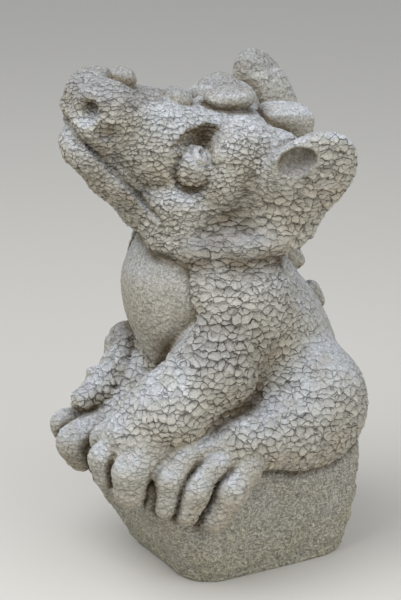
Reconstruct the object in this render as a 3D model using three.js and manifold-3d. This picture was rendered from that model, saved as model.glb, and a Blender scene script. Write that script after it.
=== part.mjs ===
// Garden statue of a young dragon seated on a rock, cast in stone in one piece.
// Millimetres, +Z up. The dragon faces -Y, its left side is +X, and z = 0 is the flat underside of the rock.
// Every form is a distance in millimetres (negative inside), the forms are blended into one field,
// and the skin of the casting is the surface on which that field is zero.

import * as THREE from 'three';
import { mergeVertices } from 'three/addons/utils/BufferGeometryUtils.js';
import Module from 'manifold-3d';

// Skin
const CELL = 2.5;
const FACETS = 9500;
const LOW = [-104, -134, -12];
const HIGH = [100, 94, 342];
const CAST_STONE = { color: 0xb9b4a6, roughness: 0.93, metalness: 0 };

// Rock under the dragon: a rounded block that leans forward and widens upward
const ROCK = {
  height: 76, top: 79, low: -7, corner: 22, rim: 6,
  halfWide: 47, halfWideGain: 11, halfDeep: 57.2, halfDeepGain: 24,
  middle: -2.8, middleLean: -17, swell: 3, swellDeep: 0.6, slope: 0.93, reach: [-0.2, 1.2],
};
const ROCK_LUMP = { centre: [48, -88, 68], half: [9, 11, 15], blend: 6 };
const ROCK_WAVE = { high: 0.9, pitch: [13, 15, 11] };

// Trunk: front line, back line and half width at evenly spaced heights
const TRUNK = {
  first: 70, gap: 24, low: 60, high: 250, end: 10, slope: 0.92,
  front: [-30, -44, -58, -68, -78, -79, -67, -48],
  back: [54, 60, 62, 58, 46, 27, 15, 12],
  wide: [50, 55, 57, 56, 54, 50, 45, 40],
};
const SHOULDER = { centre: [32, -30, 186], half: [23, 30, 40], blend: 10 };
const BIB = {
  half: 42, full: 178, drop: 46, narrowing: 0.25, depth: 4, fade: 9, lip: [-2.2, 2.2], facing: [10, -10],
};

// Limbs: joints are x, y, z and radius, given for the left side
const LEFT_ARM = [[36, -22, 174, 24], [44, -47, 140, 24], [41, -76, 118, 22.5], [34, -96, 102, 19]];
const LEFT_TOES = [
  [[19, -98, 106, 8.5], [19, -108, 99, 8.5], [19, -106, 90, 8]],
  [[30, -105, 102, 9.5], [30.5, -115, 92, 8.8], [30.5, -113, 80, 8.2]],
  [[46, -92, 100, 12], [46.5, -105, 87, 11.5], [45.5, -105, 74, 10.6]],
];
const RIGHT_ARM = [[22, -18, 165, 20], [28, -36, 135, 17], [28, -50, 112, 15], [31, -80, 84, 14]];
const RIGHT_TOES = [
  [[15, -84, 80, 10], [15, -90, 77, 10], [15, -88, 70, 9]],
  [[33, -92, 82, 12.5], [34, -100, 77, 13], [34, -97, 68, 11]],
  [[47, -90, 86, 9], [49, -101, 84, 9], [49, -99, 74, 8]],
];
const ARM_BLEND = 12;
const HAUNCH = { centre: [42, 21, 103], half: [32, 41, 42] };
const THIGH = [[52, 0, 96, 25], [57, -38, 97, 20]];
const INSTEP = [59, -36, 93, 16];
const HIND_TOES = [
  [[56, -73, 94, 9.5], [58, -85, 82, 9.5], [57, -87, 65, 8.5]],
  [[63.5, -60, 88, 10], [65, -72, 75, 10], [62, -76, 61, 9]],
  [[67, -39.5, 84, 11], [69, -50.5, 72, 11.5], [65.5, -59, 55, 10]],
];
const TOE_BLEND = 4;
const TOE_CLEFT = { depth: 2, width: 3 };
const FOOT_BLEND = 5;

// Tail: from the rump round the right side, its end lying over the right front paw
const TAIL = [
  [0, 46, 96, 30], [-28, 54, 98, 26], [-54, 36, 106, 22], [-66, 4, 116, 19], [-63, -28, 128, 15],
  [-50, -55, 131, 11.5], [-42, -66, 117, 11], [-41, -77, 106, 11], [-40, -93, 102, 8],
];
const TAIL_BLEND = 8;
const TAIL_PLATES = [[-67, -8, 138, 9], [-58, -40, 143, 8], [-49, -65, 131, 6.5], [-45, -82, 115, 5]];
const TAIL_PLATE_THIN = 0.7;
const BACK_PLATES = [[0, 35, 187, 9], [0, 50, 158, 10]];
const BACK_PLATE_LEAN = [[0, -0.5, 1], [0, 1, 0.5]];
const BACK_PLATE_LOW = 0.8;
const BACK_PLATE_HALF = 5;
const PLATE_POWER = 4;

// Head: its own frame, nose along -y, turned about the point it pivots on
const HEAD = { at: [0, -8, 248], yaw: -6, pitch: 22, roll: 12 };
const SKULL = { centre: [0, 2, -6], half: [49, 50, 45] };
const MUZZLE = { joints: [[0, -18, 4, 34], [0, -62, 5, 25], [0, -92, 9, 21]], narrow: 0.88, blend: 14 };
const MUZZLE_SIDE = { centre: [14, -50, 0], half: [20, 34, 20], blend: 8 };
const NOSE = { centre: [11, -101, 15], half: [16, 18, 17], blend: 13 };
const LIP = { centre: [12, -100, 2], half: [15, 17, 10], blend: 6 };
const JAW = {
  joints: [[0, -99, -15, 12], [0, -76, -25, 12], [0, -48, -36, 14], [0, -20, -38, 18]],
  narrow: 0.6, blend: 8, part: 5,
};
const CHEEK = { centre: [25, -34, -24], half: [21, 26, 20], blend: 6 };
const JOWL = {
  joints: [[33, -42, -44, 8], [46, -22, -41, 9], [54, -4, -30, 9.5], [53, 17, -17, 10]],
  blend: 8, join: 8,
};
const MOUTH = { front: -116, start: -1, fall: 0.45, slope: 0.91, depth: 3.2, width: 2.8, corner: [-46, -54] };
const NOSTRIL = { joints: [[23, -120, 12, 7.5], [15, -107, 16.5, 4]], blend: 4.5 };
const NOSTRIL_WING = { centre: [28, -100, 6], half: [4, 5, 3], blend: 6 };
const FOLD = {
  joints: [[29, -20, 29, 14.5], [31.5, -22, 19, 14], [32.5, -20, 2.5, 13.5], [32.5, -18, -14, 13]],
  blend: 10, join: 4, rightShift: [-4, 3, 7],
};
const ORBIT = { centre: [43, -46, 6], half: [14, 16.5, 18.5], blend: 3 };
const SOCKET = {
  joints: [[34, -58.5, 13, 3.5], [29, -48.5, 20, 7], [27, -38.5, 24.5, 9.5]], blend: 4, edge: 2.5,
};
const EYEBALL = { centre: [28, -41.5, 3.6], half: [13, 12.5, 13.5], blend: 2 };
const PUPIL = { centre: [34.4, -42.4, 15.4], half: [3.6, 2.6, 2.6], blend: 1 };
const EAR = {
  along: [26, -4, 62], across: [0.05, 1, 0.1], centre: [57, 15, 28], half: [37, 27, 13],
  rightShift: [0, 16.7, 6.4], rightHalf: [36, 19, 13], rightLean: -0.9,
};
const EAR_ROOT = { centre: [42, 20, -2], half: [19, 24, 26], blend: 10, join: 8 };
const TEMPLE = { centre: [37, 1, 24], half: [15, 18, 21], blend: 12 };
const EAR_HOLLOW = { centre: [68.7, -2.8, 38.1], half: [12, 7.5, 9], turn: 0.62, blend: 2.5 };
const CREST = [
  { centre: [0, -94, 33.5], half: [8, 9, 7], lean: 0, tilt: 0, power: 2 },
  { centre: [0, -56, 32], half: [9, 11, 7], lean: 0, tilt: 0, power: 2 },
  { centre: [0, -24, 42], half: [10, 14, 10], lean: 0.6, tilt: 0, power: 2 },
  { centre: [0, 17.6, 38], half: [12, 18.5, 13.6], lean: -0.27, tilt: 0.27, power: 3.5 },
];

// Joins between the big forms
const CREST_CLEFT = { depth: 1, width: 2.4 };
const HAUNCH_JOIN = 10;
const THIGH_JOIN = 14;
const LIMB_CREASE = 3.5;
const SHOULDER_JOIN = { soft: 20, from: 128, to: 160, bib: [2, -9] };
const TAIL_CREASE = { crease: 2.5, soft: 14, from: 10, to: 50 };
const PLATE_JOIN = 2;
const NECK_CREASE = 4;
const ROCK_CREASE = { depth: 1.2, width: 3 };

const TINY = 1e-9;

// Union of two distances with a fillet about as wide as blend
function join(a, b, blend) {
  const part = Math.max(blend - Math.abs(a - b), 0) / blend;
  return Math.min(a, b) - part * part * blend * 0.25;
}

// Distance a with b taken out of it, the rim eased by blend
function carve(a, b, blend) {
  return -join(-a, b, blend);
}

// Union of two distances with a groove sunk along the line where they are equal
function cleft(a, b, { depth, width }) {
  return Math.min(a, b) + depth * Math.exp(-(((a - b) / width) ** 2));
}

// Smooth rise from 0 at low to 1 at high, low and high in either order
function rise(low, high, value) {
  const t = Math.min(Math.max((value - low) / (high - low), 0), 1);
  return t * t * (3 - 2 * t);
}

// Distance from an egg: an ellipsoid with the given half sizes, or a squarer one with a higher power
function egg(p, { centre, half, power = 2 }) {
  let sum = 0;
  let slope = 0;
  for (let i = 0; i < 3; i += 1) {
    const share = Math.abs(p[i] - centre[i]) / half[i];
    const steep = share ** (power - 1);
    sum += share * steep;
    slope += (steep / half[i]) ** 2;
  }
  const size = sum ** (1 / power);
  return ((size - 1) * size ** (power - 1)) / Math.max(Math.sqrt(slope), TINY);
}

// Distance from one tapered bone between two joints
function bone(p, from, to) {
  const span = [to[0] - from[0], to[1] - from[1], to[2] - from[2]];
  const reach = [p[0] - from[0], p[1] - from[1], p[2] - from[2]];
  const square = span[0] ** 2 + span[1] ** 2 + span[2] ** 2;
  const along = span[0] * reach[0] + span[1] * reach[1] + span[2] * reach[2];
  const t = Math.min(Math.max(along / square, 0), 1);
  const gap = Math.hypot(reach[0] - t * span[0], reach[1] - t * span[1], reach[2] - t * span[2]);
  return gap - (from[3] + (to[3] - from[3]) * t);
}

// Distance from a limb: bones through all its joints, blended at each joint
function limb(p, joints, blend) {
  let d = bone(p, joints[0], joints[1]);
  for (let i = 1; i < joints.length - 1; i += 1) {
    d = join(d, bone(p, joints[i], joints[i + 1]), blend);
  }
  return d;
}

// Smooth curve through evenly spaced values
function curve(at, first, gap, values) {
  const last = values.length - 1;
  const t = Math.min(Math.max((at - first) / gap, 0), last - TINY);
  const i = Math.floor(t);
  const f = t - i;
  const a = values[Math.max(i - 1, 0)];
  const b = values[i];
  const c = values[Math.min(i + 1, last)];
  const e = values[Math.min(i + 2, last)];
  return b + 0.5 * f * (c - a + f * (2 * a - 5 * b + 4 * c - e + f * (3 * (b - c) + e - a)));
}

// Three square axes: one along, one across (squared up) and their normal
function axesOf(along, across) {
  const a = new THREE.Vector3(...along).normalize();
  const w = new THREE.Vector3(...across);
  w.addScaledVector(a, -w.dot(a)).normalize();
  return [a, w, new THREE.Vector3().crossVectors(a, w)];
}

// An egg whose half sizes lie along its own three axes
function turnedEgg(p, form, axes) {
  const r = [p[0] - form.centre[0], p[1] - form.centre[1], p[2] - form.centre[2]];
  const own = axes.map((axis) => axis.x * r[0] + axis.y * r[1] + axis.z * r[2]);
  return egg(own, { ...form, centre: [0, 0, 0] });
}

const radians = THREE.MathUtils.degToRad;
const headTurn = new THREE.Matrix4().makeRotationFromEuler(
  new THREE.Euler(-radians(HEAD.pitch), radians(HEAD.roll), radians(HEAD.yaw), 'ZXY'),
);
const headAxes = [0, 1, 2].map((column) => new THREE.Vector3().setFromMatrixColumn(headTurn, column));
const earAxes = axesOf(EAR.along, EAR.across);
const rightEarAxes = axesOf(earAxes[0].clone().addScaledVector(earAxes[1], EAR.rightLean), EAR.across);
const hollowAxes = axesOf(earAxes[0].clone().addScaledVector(earAxes[1], EAR_HOLLOW.turn), EAR.across);
const plateAxes = axesOf(...BACK_PLATE_LEAN);
const shifted = (p, by) => [p[0] - by[0], p[1] - by[1], p[2] - by[2]];

// Eye: a recess under the brow, a shallow orbit, the ball in it and a drilled pupil
function withEye(d, p) {
  let out = carve(d, egg(p, ORBIT), ORBIT.blend);
  out = carve(out, limb(p, SOCKET.joints, SOCKET.blend), SOCKET.edge);
  out = join(out, egg(p, EYEBALL), EYEBALL.blend);
  return carve(out, egg(p, PUPIL), PUPIL.blend);
}

// Ear: a broad leaf on a thick root, hollowed at the front; the right one sits further back and leans over
function withEar(d, p, isRight) {
  const leaf = isRight
    ? turnedEgg(shifted(p, EAR.rightShift), { ...EAR, half: EAR.rightHalf }, rightEarAxes)
    : turnedEgg(p, EAR, earAxes);
  const ear = join(leaf, egg(p, EAR_ROOT), EAR_ROOT.blend);
  return carve(join(d, ear, EAR_ROOT.join), turnedEgg(p, EAR_HOLLOW, hollowAxes), EAR_HOLLOW.blend);
}

// Plates of the crest lean back as they rise, and tilt up as they go back
function crestPlate(q, plate) {
  const back = q[1] - plate.lean * (q[2] - plate.centre[2]);
  const up = q[2] - plate.tilt * (q[1] - plate.centre[1]);
  return egg([q[0], back, up], plate);
}

function head(point) {
  const r = shifted(point, HEAD.at);
  const q = headAxes.map((axis) => axis.x * r[0] + axis.y * r[1] + axis.z * r[2]);
  const m = [Math.abs(q[0]), q[1], q[2]];
  const isRight = q[0] < 0;
  const muzzle = limb([q[0] * MUZZLE.narrow, q[1], q[2]], MUZZLE.joints, MUZZLE.blend);
  let d = join(egg(q, SKULL), muzzle, MUZZLE.blend);
  for (const form of [MUZZLE_SIDE, NOSE, LIP]) {
    d = join(d, egg(m, form), form.blend);
  }
  d = join(d, limb([q[0] * JAW.narrow, q[1], q[2]], JAW.joints, JAW.blend), JAW.part);
  d = join(d, egg(m, CHEEK), CHEEK.blend);
  const seam = (q[2] - MOUTH.start + MOUTH.fall * (q[1] - MOUTH.front)) * MOUTH.slope;
  d += MOUTH.depth * Math.exp(-((seam / MOUTH.width) ** 2)) * rise(...MOUTH.corner, q[1]);
  d = carve(d, egg(m, NOSTRIL_WING), NOSTRIL_WING.blend);
  d = withEye(d, m);
  d = join(d, limb(isRight ? shifted(m, FOLD.rightShift) : m, FOLD.joints, FOLD.blend), FOLD.join);
  d = join(d, limb(m, JOWL.joints, JOWL.blend), JOWL.join);
  d = join(d, egg(m, TEMPLE), TEMPLE.blend);
  d = carve(d, limb(m, NOSTRIL.joints, NOSTRIL.blend), NOSTRIL.blend);
  d = withEar(d, m, isRight);
  return CREST.reduce((whole, plate) => cleft(whole, crestPlate(q, plate), CREST_CLEFT), d);
}

// How far inside the bib's edge a point lies, seen from the front: round below, narrowing upward
function bibEdge(p) {
  const below = Math.max(BIB.full - p[2], 0) / BIB.drop;
  const above = Math.max(p[2] - BIB.full, 0);
  return BIB.half * Math.sqrt(Math.max(1 - below * below, 0)) - BIB.narrowing * above - Math.abs(p[0]);
}

// Trunk with shoulders, and the smooth bib let in behind a lip of skin
function trunk(p) {
  const line = (values) => curve(p[2], TRUNK.first, TRUNK.gap, values);
  const front = line(TRUNK.front);
  const back = line(TRUNK.back);
  const wide = line(TRUNK.wide);
  const middle = (front + back) / 2;
  const deep = (back - front) / 2;
  const ring = Math.hypot(p[0] / wide, (p[1] - middle) / deep);
  let d = (ring - 1) * Math.min(wide, deep) * TRUNK.slope;
  d = join(d, egg([Math.abs(p[0]), p[1], p[2]], SHOULDER), SHOULDER.blend);
  const edge = bibEdge(p);
  const sunk = rise(...BIB.lip, edge) * Math.exp(-((Math.max(edge, 0) / BIB.fade) ** 2));
  d += BIB.depth * sunk * rise(...BIB.facing, p[1] - middle);
  return carve(d, -Math.max(p[2] - TRUNK.high, TRUNK.low - p[2]), TRUNK.end);
}

// Toes side by side with clefts between them
function toes(p, set) {
  const each = set.map((joints) => limb(p, joints, TOE_BLEND));
  return each.reduce((d, toe) => cleft(d, toe, TOE_CLEFT));
}

function foreleg(p, arm, toeSet) {
  return join(limb(p, arm, ARM_BLEND), toes(p, toeSet), FOOT_BLEND);
}

function hindLeg(p) {
  const leg = join(egg(p, HAUNCH), bone(p, ...THIGH), THIGH_JOIN);
  return join(leg, toes(p, HIND_TOES.map((joints) => [INSTEP, ...joints])), FOOT_BLEND);
}

function tail(p) {
  let d = limb(p, TAIL, TAIL_BLEND);
  for (const [x, y, z, size] of TAIL_PLATES) {
    const plate = { centre: [x, y, z], half: [size * TAIL_PLATE_THIN, size, size], power: PLATE_POWER };
    d = join(d, egg(p, plate), PLATE_JOIN);
  }
  return d;
}

function rock(p) {
  const t = Math.min(Math.max(p[2] / ROCK.height, ROCK.reach[0]), ROCK.reach[1]);
  const swell = ROCK.swell * Math.sin(Math.PI * Math.min(Math.max(t, 0), 1));
  const across = Math.abs(p[0]) - (ROCK.halfWide + ROCK.halfWideGain * t + swell - ROCK.corner);
  const deep = ROCK.halfDeep + ROCK.halfDeepGain * t + swell * ROCK.swellDeep;
  const along = Math.abs(p[1] - ROCK.middle - ROCK.middleLean * t) - (deep - ROCK.corner);
  const outside = Math.hypot(Math.max(across, 0), Math.max(along, 0));
  let d = (outside + Math.min(Math.max(across, along), 0) - ROCK.corner) * ROCK.slope;
  d += ROCK_WAVE.high * ROCK_WAVE.pitch.reduce((wave, pitch, i) => wave * Math.sin(p[i] / pitch + i), 1);
  d = carve(d, -Math.max(p[2] - ROCK.top, ROCK.low - p[2]), ROCK.rim);
  return join(d, egg(p, ROCK_LUMP), ROCK_LUMP.blend);
}

// The whole casting
function casting(p) {
  const mirror = [-p[0], p[1], p[2]];
  let d = join(trunk(p), Math.min(hindLeg(p), hindLeg(mirror)), HAUNCH_JOIN);
  const high = rise(SHOULDER_JOIN.from, SHOULDER_JOIN.to, p[2]);
  const crease = LIMB_CREASE + SHOULDER_JOIN.soft * high * rise(...SHOULDER_JOIN.bib, bibEdge(p));
  d = join(d, foreleg(p, LEFT_ARM, LEFT_TOES), crease);
  d = join(d, foreleg(mirror, RIGHT_ARM, RIGHT_TOES), crease);
  for (const [x, y, z, size] of BACK_PLATES) {
    const half = [size, size * BACK_PLATE_LOW, BACK_PLATE_HALF];
    d = join(d, turnedEgg(p, { centre: [x, y, z], half, power: PLATE_POWER }, plateAxes), PLATE_JOIN);
  }
  const soft = TAIL_CREASE.crease + TAIL_CREASE.soft * rise(TAIL_CREASE.from, TAIL_CREASE.to, p[1]);
  d = join(d, tail(p), soft);
  d = join(d, head(p), NECK_CREASE);
  return cleft(d, rock(p), ROCK_CREASE);
}

// Each cube of the grid is six corner-to-corner tetrahedra; odd orders of the axes are turned to face alike
const AXIS_ORDERS = [[0, 1, 2], [1, 2, 0], [2, 0, 1], [0, 2, 1], [2, 1, 0], [1, 0, 2]];
// Corners of a tetrahedron in an even order with the lone corner, or the pair, first
const LONE_FIRST = [[0, 1, 2, 3], [1, 0, 3, 2], [2, 0, 1, 3], [3, 0, 2, 1]];
const PAIR_FIRST = {
  3: [0, 1, 2, 3], 5: [0, 2, 3, 1], 9: [0, 3, 1, 2], 6: [1, 2, 0, 3], 10: [1, 3, 2, 0], 12: [2, 3, 0, 1],
};
const CROSSING = [0.1, 0.9];
// Blocks of the grid whose middle lies far from the surface are not worked out point by point
const BLOCK = 5;
const FAR = 1.25;
const EASE_ROUNDS = 4;
const EASE_SHARE = 0.6;

// Surface of a field as points and facets that face outward
function surfaceOf(field) {
  const count = LOW.map((low, i) => Math.ceil((HIGH[i] - low) / CELL) + 1);
  const stride = [1, count[0], count[0] * count[1]];
  const total = stride[2] * count[2];
  const place = (g) => [
    LOW[0] + CELL * (g % count[0]),
    LOW[1] + CELL * (Math.floor(g / stride[1]) % count[1]),
    LOW[2] + CELL * Math.floor(g / stride[2]),
  ];
  const value = new Float64Array(total);
  const reach = CELL * BLOCK * FAR;
  for (let k = 0; k < count[2]; k += BLOCK) {
    for (let j = 0; j < count[1]; j += BLOCK) {
      for (let i = 0; i < count[0]; i += BLOCK) {
        const half = (BLOCK - 1) * CELL * 0.5;
        const corner = place(i + j * stride[1] + k * stride[2]);
        const rough = field(corner.map((v) => v + half));
        const last = [i, j, k].map((start, axis) => Math.min(start + BLOCK, count[axis]));
        for (let c = k; c < last[2]; c += 1) {
          for (let b = j; b < last[1]; b += 1) {
            for (let a = i; a < last[0]; a += 1) {
              const g = a + b * stride[1] + c * stride[2];
              value[g] = Math.abs(rough) > reach ? rough : field(place(g));
            }
          }
        }
      }
    }
  }
  const tets = AXIS_ORDERS.map((order, n) => {
    const first = stride[order[0]];
    const corners = [0, first, first + stride[order[1]], stride[0] + stride[1] + stride[2]];
    return n < 3 ? corners : [corners[0], corners[1], corners[3], corners[2]];
  });
  const points = [];
  const facets = [];
  const known = new Map();
  const cross = (a, b) => {
    const key = Math.min(a, b) * total + Math.max(a, b);
    if (!known.has(key)) {
      const share = value[a] / (value[a] - value[b]);
      const t = Math.min(Math.max(share, CROSSING[0]), CROSSING[1]);
      const from = place(a);
      const to = place(b);
      known.set(key, points.length);
      points.push(from.map((v, i) => v + (to[i] - v) * t));
    }
    return known.get(key);
  };
  const cut = (corner) => {
    const mask = corner.reduce((bits, g, i) => bits + (value[g] < 0 ? 1 << i : 0), 0);
    if (mask === 0 || mask === 15) {
      return;
    }
    if (PAIR_FIRST[mask]) {
      const [a, b, c, e] = PAIR_FIRST[mask].map((i) => corner[i]);
      const quad = [cross(a, c), cross(a, e), cross(b, e), cross(b, c)];
      facets.push([quad[0], quad[1], quad[2]], [quad[0], quad[2], quad[3]]);
      return;
    }
    const inside = [1, 2, 4, 8].indexOf(mask);
    const lone = inside >= 0 ? inside : [14, 13, 11, 7].indexOf(mask);
    const [a, b, c, e] = LONE_FIRST[lone].map((i) => corner[i]);
    const tip = [cross(a, b), cross(a, c), cross(a, e)];
    facets.push(inside >= 0 ? tip : tip.reverse());
  };
  for (let k = 0; k < count[2] - 1; k += 1) {
    for (let j = 0; j < count[1] - 1; j += 1) {
      for (let i = 0; i < count[0] - 1; i += 1) {
        const base = i + j * stride[1] + k * stride[2];
        tets.forEach((tet) => cut(tet.map((step) => base + step)));
      }
    }
  }
  return { points, facets };
}

// Only the largest shell of a surface, so that no pocket stays sealed inside the stone
function outerShell({ points, facets }) {
  const parent = points.map((_, i) => i);
  const root = (i) => {
    let at = i;
    while (parent[at] !== at) {
      parent[at] = parent[parent[at]];
      at = parent[at];
    }
    return at;
  };
  facets.forEach(([a, b, c]) => {
    parent[root(a)] = root(b);
    parent[root(b)] = root(c);
  });
  const sizes = new Map();
  facets.forEach(([a]) => sizes.set(root(a), (sizes.get(root(a)) ?? 0) + 1));
  const largest = [...sizes].sort((one, other) => other[1] - one[1])[0][0];
  return { points, facets: facets.filter(([a]) => root(a) === largest) };
}

// Each point drawn part of the way to the middle of its neighbours, to smooth the grid's steps in creases
function eased({ points, facets }) {
  let spots = points;
  for (let round = 0; round < EASE_ROUNDS; round += 1) {
    const sums = spots.map(() => [0, 0, 0, 0]);
    facets.forEach((f) => f.forEach((v, i) => {
      const next = spots[f[(i + 1) % 3]];
      next.forEach((value, axis) => {
        sums[v][axis] += value;
      });
      sums[v][3] += 1;
    }));
    spots = spots.map((p, v) => p.map((value, axis) => (
      sums[v][3] > 0 ? value + EASE_SHARE * (sums[v][axis] / sums[v][3] - value) : value)));
  }
  return { points: spots, facets };
}

const minus = (a, b) => [a[0] - b[0], a[1] - b[1], a[2] - b[2]];
const times = (a, b) => a[0] * b[0] + a[1] * b[1] + a[2] * b[2];
const normalOf = (a, b, c) => {
  const u = minus(b, a);
  const v = minus(c, a);
  return [u[1] * v[2] - u[2] * v[1], u[2] * v[0] - u[0] * v[2], u[0] * v[1] - u[1] * v[0]];
};

// Squared distances from planes, summed: xx xy xz x yy yz y zz z and a constant
const bend = (q, p) => q[0] * p[0] * p[0] + 2 * q[1] * p[0] * p[1] + 2 * q[2] * p[0] * p[2] + 2 * q[3] * p[0]
  + q[4] * p[1] * p[1] + 2 * q[5] * p[1] * p[2] + 2 * q[6] * p[1]
  + q[7] * p[2] * p[2] + 2 * q[8] * p[2] + q[9];

const FLAT = 1e-6;

// Point where such a sum is least, or null where it is flat
function lowest(q) {
  const ia = q[4] * q[7] - q[5] * q[5];
  const ib = q[2] * q[5] - q[1] * q[7];
  const ic = q[1] * q[5] - q[2] * q[4];
  const size = q[0] * ia + q[1] * ib + q[2] * ic;
  const scale = (q[0] + q[4] + q[7]) / 3;
  if (Math.abs(size) < FLAT * scale ** 3) {
    return null;
  }
  const id = q[0] * q[7] - q[2] * q[2];
  const ie = q[1] * q[2] - q[0] * q[5];
  const ig = q[0] * q[4] - q[1] * q[1];
  return [
    -(ia * q[3] + ib * q[6] + ic * q[8]) / size,
    -(ib * q[3] + id * q[6] + ie * q[8]) / size,
    -(ic * q[3] + ie * q[6] + ig * q[8]) / size,
  ];
}

// Binary heap of entries ordered by their first value
function sift(heap, entry) {
  let at = heap.length;
  heap.push(entry);
  while (at > 0) {
    const up = (at - 1) >> 1;
    if (heap[up][0] <= entry[0]) {
      break;
    }
    heap[at] = heap[up];
    at = up;
  }
  heap[at] = entry;
}

function take(heap) {
  const first = heap[0];
  const entry = heap.pop();
  let at = 0;
  while (heap.length > 0) {
    let down = 2 * at + 1;
    if (down + 1 < heap.length && heap[down + 1][0] < heap[down][0]) {
      down += 1;
    }
    if (down >= heap.length || heap[down][0] >= entry[0]) {
      heap[at] = entry;
      break;
    }
    heap[at] = heap[down];
    at = down;
  }
  return first;
}

const KEEP_NEAR = 2e-3;
const TURN_LIMIT = 0.25;

// Fewer facets: edges are drawn together where that moves the surface least
function thinned({ points, facets }, target) {
  const spot = points.map((p) => [...p]);
  const around = spot.map(() => new Set());
  const sum = spot.map(() => new Float64Array(10));
  const stamp = new Int32Array(spot.length);
  const live = facets.map((f) => [...f]);
  live.forEach((f, n) => {
    const normal = normalOf(...f.map((v) => spot[v]));
    const area = Math.max(Math.sqrt(times(normal, normal)), TINY);
    const [x, y, z] = normal.map((v) => v / area);
    const off = -times([x, y, z], spot[f[0]]);
    const plane = [x * x, x * y, x * z, x * off, y * y, y * z, y * off, z * z, z * off, off * off];
    f.forEach((v) => {
      around[v].add(n);
      const [px, py, pz] = spot[v];
      const near = [1, 0, 0, -px, 1, 0, -py, 1, -pz, px * px + py * py + pz * pz];
      plane.forEach((value, i) => {
        sum[v][i] += area * (value + KEEP_NEAR * near[i]);
      });
    });
  });
  const heap = [];
  const offer = (a, b) => {
    const both = sum[a].map((value, i) => value + sum[b][i]);
    const middle = spot[a].map((value, i) => (value + spot[b][i]) / 2);
    const to = lowest(both) ?? middle;
    sift(heap, [bend(both, to), a, b, stamp[a], stamp[b], to]);
  };
  const neighbours = (v) => {
    const set = new Set();
    around[v].forEach((n) => live[n].forEach((w) => set.add(w)));
    set.delete(v);
    return set;
  };
  const turns = (v, other, to) => [...around[v]].some((n) => {
    const f = live[n];
    if (f.includes(other)) {
      return false;
    }
    const before = normalOf(...f.map((w) => spot[w]));
    const after = normalOf(...f.map((w) => (w === v ? to : spot[w])));
    return times(before, after) < TURN_LIMIT * Math.sqrt(times(before, before) * times(after, after)) + TINY;
  });
  live.forEach((f) => f.forEach((a, i) => {
    const b = f[(i + 1) % 3];
    if (a < b) {
      offer(a, b);
    }
  }));
  let left = live.length;
  while (left > target && heap.length > 0) {
    const [, a, b, stampA, stampB, to] = take(heap);
    if (stamp[a] !== stampA || stamp[b] !== stampB) {
      continue;
    }
    const nearB = neighbours(b);
    const shared = [...neighbours(a)].filter((v) => nearB.has(v));
    if (shared.length !== 2 || turns(a, b, to) || turns(b, a, to)) {
      continue;
    }
    spot[a] = to;
    sum[a] = sum[a].map((value, i) => value + sum[b][i]);
    [...around[b]].forEach((n) => {
      const f = live[n];
      if (f.includes(a)) {
        f.forEach((v) => around[v].delete(n));
        live[n] = null;
        left -= 1;
      } else {
        f[f.indexOf(b)] = a;
        around[a].add(n);
      }
    });
    around[b].clear();
    stamp[b] += 1;
    stamp[a] += 1;
    neighbours(a).forEach((v) => offer(Math.min(a, v), Math.max(a, v)));
  }
  return { points: spot, facets: live.filter((f) => f !== null) };
}

const wasm = await Module();
wasm.setup();

// Closed body for joining and cutting
function bodyOf(vertices, triangles) {
  const mesh = new wasm.Mesh({
    numProp: 3, vertProperties: Float32Array.from(vertices), triVerts: Uint32Array.from(triangles),
  });
  return new wasm.Manifold(mesh);
}

// The casting's skin, cut flat where it stands
function castBody() {
  const skin = thinned(eased(outerShell(surfaceOf(casting))), FACETS);
  const used = new Map();
  skin.facets.flat().forEach((v) => used.set(v, used.get(v) ?? used.size));
  const vertices = [...used.keys()].flatMap((v) => skin.points[v]);
  const raw = bodyOf(vertices, skin.facets.flat().map((v) => used.get(v)));
  const size = HIGH.map((high, i) => 2 * (high - LOW[i]));
  const below = new THREE.BoxGeometry(...size).translate(0, 0, -size[2] / 2);
  below.deleteAttribute('normal');
  below.deleteAttribute('uv');
  const ground = mergeVertices(below);
  return raw.subtract(bodyOf(ground.attributes.position.array, ground.index.array));
}

function meshOf(name, body, finish) {
  const solid = body.getMesh();
  const geometry = new THREE.BufferGeometry();
  geometry.setAttribute('position', new THREE.BufferAttribute(Float32Array.from(solid.vertProperties), 3));
  geometry.setIndex(new THREE.BufferAttribute(Uint32Array.from(solid.triVerts), 1));
  geometry.computeVertexNormals();
  const mesh = new THREE.Mesh(geometry, new THREE.MeshStandardMaterial(finish));
  mesh.name = name;
  return mesh;
}

const statue = new THREE.Group();
statue.name = 'seated_dragon_statue';
statue.add(meshOf('dragon_casting', castBody(), CAST_STONE));

export default statue;
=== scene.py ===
"""Garden statue of a young dragon seated on a rock, cast in one piece of stone and long left outdoors.

The body is a field of distances in millimetres, negative inside the stone, and its skin is where the field
is zero. The crackled scales, the grain and the lumps are then raised on that skin.
"""

import math

import bpy
import numpy as np
from mathutils import Matrix, Vector


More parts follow.
